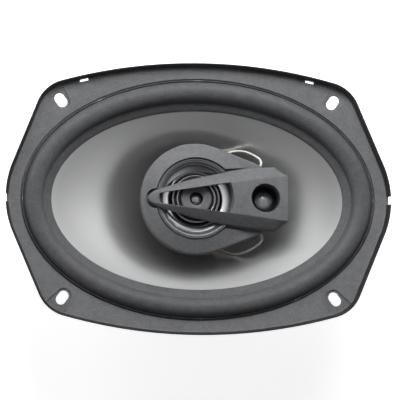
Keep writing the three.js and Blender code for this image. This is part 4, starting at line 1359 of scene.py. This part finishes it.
midMotor = {
    "bore": 3,
    "pole": 8,
    "plate": 2.5,
    "radius": 19.5,
    "magnetBore": 11.5,
    "topPlateBore": 9.7,
    "formerInner": 8.4,
    "formerOuter": 8.7,
    "coilOuter": 9.2,
}
midTop, backTop = midYokeHigh.z, midYokeLow.z + midMotor["plate"]
turnedPiece("midYoke", eased([
    (midMotor["bore"], midYokeLow.z), (midMotor["radius"], midYokeLow.z), (midMotor["radius"], backTop),
    (midMotor["pole"], backTop), (midMotor["pole"], midTop), (midMotor["bore"], midTop)], 0.3),
    "unitSteel", "mid_yoke", centre=unitCentre)
plainRing("midMagnet", "mid_magnet", "ferrite", midMotor["magnetBore"], midMotor["radius"], centre=unitCentre)
plainRing("midTopPlate", "mid_top_plate", "unitSteel", midMotor["topPlateBore"], midMotor["radius"],
          centre=unitCentre)
midCoilLow, midCoilHigh = boxOf("mid_voice_coil")
coilFoot, coilTop = midCoilLow.z + 1.2, midCoilLow.z + 6
formerInner, formerOuter, coilOuter = midMotor["formerInner"], midMotor["formerOuter"], midMotor["coilOuter"]
turnedPiece("midVoiceCoil", eased([
    (formerInner, midCoilLow.z), (formerOuter, midCoilLow.z), (formerOuter, coilFoot), (coilOuter, coilFoot),
    (coilOuter, coilTop), (formerOuter, coilTop), (formerOuter, midCoilHigh.z), (formerInner, midCoilHigh.z)],
    0.05, 1), "copper", "mid_voice_coil", centre=unitCentre)
midConeLow, midConeHigh = boxOf("mid_cone")
midCone = {"neck": 8.78, "rim": 20.4, "bow": 1.45, "film": 0.5, "steps": 16}


def midConeProfile():
    # A shallow bow between the neck and the rim.
    low, high = midConeLow.z, midConeHigh.z
    film, steps, neck = midCone["film"], midCone["steps"], midCone["neck"]
    run = []
    for k in range(steps + 1):
        t = k / steps
        rise = 1 - (1 - t) ** midCone["bow"]
        run.append(Vector((neck + (midCone["rim"] - neck) * t, low + (high - film - low) * rise)))
    return run + [p + Vector((0, film)) for p in reversed(run)]


turnedPiece("midCone", midConeProfile(), "midFilm", "mid_cone", segments=144, centre=unitCentre)
for name, node in (("midCapacitor", "mid_capacitor"), ("tweeterCapacitor", "tweeter_capacitor")):
    low, high = boxOf(node)
    turnedPiece(name, eased([
        (0, low.z), (2.8, low.z), (3.2, low.z + 0.6), (3.2, low.z + 1.8), (2.95, low.z + 2.2),
        (3.2, low.z + 2.6), (3.2, high.z, 0.6), (2.4, high.z), (2.2, high.z - 0.3), (0, high.z - 0.3)],
        0.2, closed=False), "sleeveBlue", node, segments=48, centre=middle(node))
print("mid-range assembled")


# Tweeter on the mid-range's pole

tweeterLow, tweeterHigh = boxOf("tweeter_body")
tweeter = {"radius": tweeterHigh.x - unitCentre[0], "step": 12.1, "stepHeight": 1.4, "pocket": 6.4}
rimTop = tweeterHigh.z - tweeter["stepHeight"]
turnedPiece("tweeterBody", eased([
    (0, tweeterLow.z), (2.9, tweeterLow.z, 0.4), (2.9, midTop + 1.1), (7.4, midTop + 1.1),
    (7.4, rimTop - 4.6), (tweeter["radius"], rimTop - 1.8, 0.6), (tweeter["radius"], rimTop, 0.15),
    (tweeter["step"], rimTop, 0.2),
    (tweeter["step"], tweeterHigh.z, 0.15), (tweeter["pocket"], tweeterHigh.z, 0.1),
    (tweeter["pocket"], midTop + 2.3), (0, midTop + 2.3)], 0.3, closed=False), "blackPlastic", "tweeter_body",
    segments=120, centre=unitCentre)
for name, node, inner, outer in (("trimOuter", "tweeter_trim_outer", 13.6, 14.6),
                                 ("trimInner", "tweeter_trim_inner", 11.2, 11.9)):
    low, high = boxOf(node)
    section = [(inner, low.z), (outer, low.z), (outer, high.z, 0.22), (inner, high.z, 0.22)]
    turnedPiece(name, eased(section, 0.05), "brightMetal", node, segments=144, centre=unitCentre)
faceLow, faceHigh = boxOf("tweeter_face")
turnedPiece("tweeterFace", eased([
    (4, faceLow.z), (9.3, faceLow.z), (9.3, faceHigh.z - 0.4, 0.2), (8.6, faceHigh.z, 0.3),
    (4.7, faceHigh.z, 0.5), (4, faceHigh.z - 0.7, 0.3)], 0.15), "unitPlastic", "tweeter_face", segments=120,
    centre=unitCentre)
cupLow, cupHigh = boxOf("tweeter_yoke")
turnedPiece("tweeterYoke", eased([
    (0, cupLow.z), (6.1, cupLow.z), (6.1, cupHigh.z), (4.2, cupHigh.z), (4.2, cupLow.z + 1.2),
    (0, cupLow.z + 1.2)], 0.2, closed=False), "unitSteel", "tweeter_yoke", centre=unitCentre)
pillLow, pillHigh = boxOf("tweeter_magnet")
turnedPiece("tweeterMagnet", eased([
    (0, pillLow.z), (2.7, pillLow.z), (2.7, pillHigh.z), (0, pillHigh.z)], 0.25, closed=False), "nickel",
    "tweeter_magnet", segments=64, centre=unitCentre)


def ringSuspension(name, node, inner, outer, centre, rise):
    low, high = boxOf(node)
    land, lip, sheet, steps = outer - 0.5, inner + 0.4, 0.12, 8
    roll = [(outer, low.z), (land, low.z)]
    roll += [(land + (lip - land) * k / steps, low.z + rise * math.sin(math.pi * k / steps))
             for k in range(1, steps)]
    roll += [(lip, low.z), (inner, low.z)]
    profile = [Vector(p) for p in roll] + [Vector((r, h + sheet)) for r, h in reversed(roll)]
    made = dress(toObject(name, turned(profile, 96, centre)), "blackCloth", [node], 60)
    bent(made, lambda p: (land - math.hypot(p.x - centre[0], p.y - centre[1])) / (land - lip))


def domeProfile(radius, height, z, coil, skin=0.3, steps=14):
    # A spherical cap on a short coil former.
    sphere = (radius ** 2 + height ** 2) / (2 * height)
    reach = math.asin(min(radius / sphere, 1))
    angles = [reach * k / steps for k in range(steps + 1)]
    over = [Vector((sphere * math.sin(a), z + height - sphere * (1 - math.cos(a)))) for a in angles]
    over[0].x = 0
    under = [Vector((p.x * (radius - skin) / radius, p.y - skin * (1 - 0.4 * (p.x / radius)))) for p in over]
    return over + [Vector((radius, z - coil)), Vector((radius - skin, z - coil))] + under[::-1]


def makeDome(name, node, radius, coil, centre):
    low, high = boxOf(node)
    rest = low.z + coil
    turnedPiece(name, domeProfile(radius, high.z - rest, rest, coil), "domeMetal", node, centre=centre)


ringSuspension("tweeterSuspension", "tweeter_suspension", 3.4, 5.9, unitCentre, 0.16)
makeDome("tweeterDome", "tweeter_dome", 3.4, 2.4, unitCentre)
print("tweeter assembled")


# Bridge

bridge = {
    "end": bridgeHigh.x - unitCentre[0],
    "chamfer": 7.2,
    "flank": 2.9,
    "rise": 0.7,
    "ridge": 7.2,
    "skirt": 0.6,
    "windowArc": 22.3,
    "windowHalf": 9.4,
    "legInset": 0.5,
    "hole": 8.8,
    "throat": 9.7,
    "holeEdge": 0.9,
    "housing": 11,
    "footTip": 5,  # half widths at the tip, and how they grow along the arm
    "footGrow": 0.348,
    "footBend": 0.00212,
    "faceTip": 3.4,
    "faceGrow": 0.1333,
    "nose": 4.8,
    "stations": 56,
}
flankZ = channelZ + bridge["flank"]


def footHalf(x):
    return bridge["footTip"] + bridge["footGrow"] * (x - tipX) - bridge["footBend"] * (x - tipX) ** 2


def faceHalf(x):
    return bridge["faceTip"] + bridge["faceGrow"] * (x - tipX)


def bridgeRing(x):
    chamferX = bridge["end"] - bridge["chamfer"]
    endTaper = min(max(x - chamferX, 0) / bridge["chamfer"], 1)
    nose = math.sqrt(max(1 - ((tipX - x) / bridge["nose"]) ** 2, 0.02)) if x < tipX else 1
    foot = ((1 - endTaper) * footHalf(x) + endTaper * (faceHalf(x) + 0.3)) * nose
    face = min(faceHalf(tipX) * nose if x < tipX else faceHalf(x), foot - 0.2)
    flank = footHalf(tipX) - faceHalf(tipX) if x < tipX else footHalf(x) - faceHalf(x)
    top = flankZ + bridge["rise"] * min(flank, bridge["ridge"])
    skirt = foot + bridge["skirt"] * min(max((x - tipX) / 40, 0), 1) * (1 - endTaper) + 0.05
    side = [(skirt, channelZ, 0.1), (skirt, channelZ + 1, 0.25), (foot, channelZ + 1.3, 0.2),
            (foot, flankZ, 0.7), (face, top, 0.55)]
    whole = side + [(-y, z, ease) for y, z, ease in reversed(side)]
    return [Vector((x, p.x, p.y)) for p in eased(whole, steps=4)]


def makeBridge():
    end = bridge["end"]
    chamferX = end - bridge["chamfer"]
    stations = [tipX - 4.7 * math.cos(math.pi / 2 * k / 12) for k in range(13)]
    stations += [tipX + (chamferX - tipX) * k / bridge["stations"] for k in range(1, bridge["stations"] + 1)]
    stations += [chamferX + bridge["chamfer"] * t for t in (0.25, 0.5, 0.75, 0.93)]
    rings = [bridgeRing(x) for x in stations]
    last = bridgeRing(end)
    for shrink, back in ((0.985, 0.12), (0.95, 0)):
        centreZ = (channelZ + flankZ) / 2
        rings.append([Vector((end - back, p.y * shrink, centreZ + (p.z - centreZ) * shrink)) for p in last])
    made = toObject("bridgeArm", shift(lofted(rings), unitCentre[0], 0, 0))
    half, inset = bridge["windowHalf"], bridge["legInset"]
    nose = tipX + 1.6
    reach = math.asin(half / bridge["windowArc"])
    outline = [(nose + 0.7, faceHalf(nose) - inset), (nose, faceHalf(nose) - inset - 0.9),
               (nose, -faceHalf(nose) + inset + 0.9), (nose + 0.7, -faceHalf(nose) + inset)]
    turns = [reach * k / 20 for k in range(-20, 21)]
    outline += [(bridge["windowArc"] * math.cos(a), bridge["windowArc"] * math.sin(a)) for a in turns]
    window = prism(outline, channelZ - 1, 100)
    under = prism(circle(trim["outer"] + 0.6, (0, 0), 160), channelZ - 1, flankZ - 0.5)
    housing = prism(circle(bridge["housing"], (superX, 0), 96), bridgeLow.z, channelZ + 1)
    throat, mouth, step, flare = bridge["throat"], bridge["hole"], channelZ - 1.5, bridge["holeEdge"]
    hole = turned([Vector(p) for p in ((0, 70), (throat, 70), (throat, step), (mouth, step), (mouth, 92.3),
                                       (mouth + flare, 92.3 + flare), (0, 92.3 + flare))], 128, (superX, 0))
    carve(made, shift(window, unitCentre[0], 0, 0), shift(under, unitCentre[0], 0, 0))
    carve(made, shift(housing, unitCentre[0], 0, 0), how="UNION")
    carve(made, shift(hole, unitCentre[0], 0, 0))
    for side in (1, -1):
        spot = (disc["screwX"], side * disc["screwY"])
        screwHole = prism(circle(1.3, spot, 32), channelZ - 1, channelZ + 3.4)
        carve(made, shift(screwHole, unitCentre[0], 0, 0))
    ridden(dress(made, "unitPlastic", ["bridge"], 30))


makeBridge()
for k in (1, 2):
    node = "bridge_screw_%d" % k
    low, high = boxOf(node)
    screw = toObject("bridgeScrew%d" % k, turned(eased([
        (0, low.z), (1.8, low.z, 0.3), (2.6, low.z + 0.9, 0.3), (2.6, low.z + 1.8, 0.2), (1.2, low.z + 1.8),
        (1.2, high.z, 0.5), (0, high.z)], 0.15, closed=False), 36, middle(node)))
    x, y = middle(node)
    for long, wide in ((1.5, 0.3), (0.3, 1.5)):
        carve(screw, prism(rectangle(x - long, x + long, y - wide, y + wide), low.z - 1, low.z + 0.9))
    ridden(dress(screw, "smallSteel", [node]))
print("bridge formed")


# Super tweeter

superLow, superHigh = boxOf("super_tweeter_body")
turnedPiece("superBody", eased([
    (0, superLow.z), (9.4, superLow.z, 0.8), (9.4, superHigh.z), (8, superHigh.z), (8, superLow.z + 1),
    (0, superLow.z + 1)], 0.15, closed=False), "blackPlastic", "super_tweeter_body", centre=superCentre)
potLow, potHigh = boxOf("super_tweeter_magnet")
turnedPiece("superMagnet", eased([
    (0, potLow.z), (6.6, potLow.z), (6.6, potLow.z + 2.6), (4.9, potLow.z + 2.6), (4.9, potHigh.z),
    (0, potHigh.z)], 0.2, closed=False), "nickel", "super_tweeter_magnet", centre=superCentre)
superRingLow, superRingHigh = boxOf("super_tweeter_ring")
turnedPiece("superRing", eased([
    (7.2, superRingLow.z), (9.4, superRingLow.z), (9.4, superRingHigh.z), (8.2, superRingHigh.z, 0.3)],
    0.2), "blackPlastic", "super_tweeter_ring", centre=superCentre)
ringSuspension("superSuspension", "super_tweeter_suspension", 5.6, 9.2,
               superCentre, 0.16)
makeDome("superDome", "super_tweeter_dome", 5.6, 2.0, superCentre)
print("super tweeter assembled")


# Stage and light

stage = {"size": 6.0, "white": 0.9, "lift": 0.75, "gap": 0.0002}  # sizes in metres
lights = {
    # Brightness of the air straight up, to each side, high over the top edge, toward its corners and below.
    "air": {"zenith": 0.03, "left": 1.38, "right": 0.93, "aloft": 0.30, "corners": 1.42, "below": 0.10},
    "fill": 0.25,  # share of the air's light that falls on dull surfaces
    "boxes": [
        # name, place, size, watts, seen in reflections
        ("keyBox", (0.02, 0.40, 0.47), (0.50, 0.30), 3.9, False),
        ("cornerBox", (-1.35, 1.5, 1.35), (0.8, 0.8), 7.5, True),
        ("domeBox", (0.0, 1.35, 2.6), (1.0, 0.8), 2.2, True),
    ],
}


def makeStage():
    bm = bmesh.new()
    half = stage["size"] / 2
    bm.faces.new([bm.verts.new((x, y, 0)) for x, y in rectangle(-half, half, -half, half)])
    mesh = bpy.data.meshes.new("paleFloor")
    bm.to_mesh(mesh)
    bm.free()
    floor = bpy.data.objects.new("paleFloor", mesh)
    floor.location.z = cadLow.z - stage["gap"]
    scene.collection.objects.link(floor)
    material = bpy.data.materials.new("paleFloor")
    material.use_nodes = True
    shader = material.node_tree.nodes["Principled BSDF"]
    shader.inputs["Base Color"].default_value = (stage["white"],) * 3 + (1,)
    shader.inputs["Roughness"].default_value = 0.9
    shader.inputs["Emission Color"].default_value = (1, 1, 1, 1)
    shader.inputs["Emission Strength"].default_value = stage["lift"]
    mesh.materials.append(material)


def makeLights():
    world = bpy.data.worlds.new("studioAir")
    world.use_nodes = True
    tree = world.node_tree
    split = tree.nodes.new("ShaderNodeSeparateXYZ")
    tree.links.new(tree.nodes.new("ShaderNodeTexCoord").outputs["Generated"], split.inputs[0])
    aside = maths(tree, "ABSOLUTE", split.outputs["X"])
    right = maths(tree, "MAXIMUM", split.outputs["X"], 0.0)
    left = maths(tree, "SUBTRACT", aside, right)
    above = maths(tree, "MAXIMUM", split.outputs["Y"], 0.0)
    below = maths(tree, "MAXIMUM", maths(tree, "MULTIPLY", split.outputs["Y"], -1.0), 0.0)
    high = maths(tree, "MAXIMUM", split.outputs["Z"], 0.0)
    lobes = {"zenith": (high, high), "left": (left, left), "right": (right, right), "aloft": (above, high),
             "corners": (aside, above), "below": (below, below)}
    total = 0.0
    for name, pair in lobes.items():
        lobe = maths(tree, "MULTIPLY", maths(tree, "MULTIPLY", *pair), lights["air"][name])
        total = maths(tree, "ADD", lobe, total)
    tree.nodes["Background"].inputs["Color"].default_value = (1, 1, 1, 1)
    onDull = tree.nodes.new("ShaderNodeLightPath").outputs["Is Diffuse Ray"]
    share = maths(tree, "SUBTRACT", 1.0, maths(tree, "MULTIPLY", onDull, 1 - lights["fill"]))
    tree.links.new(maths(tree, "MULTIPLY", total, share), tree.nodes["Background"].inputs["Strength"])
    scene.world = world
    for name, place, size, watts, reflected in lights["boxes"]:
        data = bpy.data.lights.new(name, "AREA")
        data.shape = "RECTANGLE"
        data.size, data.size_y = size
        data.energy = watts
        light = bpy.data.objects.new(name, data)
        light.location = place
        light.visible_glossy = reflected
        aim = Vector((0, 0, faceZ * mm)) - Vector(place)
        light.rotation_euler = aim.to_track_quat("-Z", "Y").to_euler()
        scene.collection.objects.link(light)


makeStage()
makeLights()
scene.view_settings.view_transform = "Standard"
scene.view_settings.look = "None"

print("stage set")
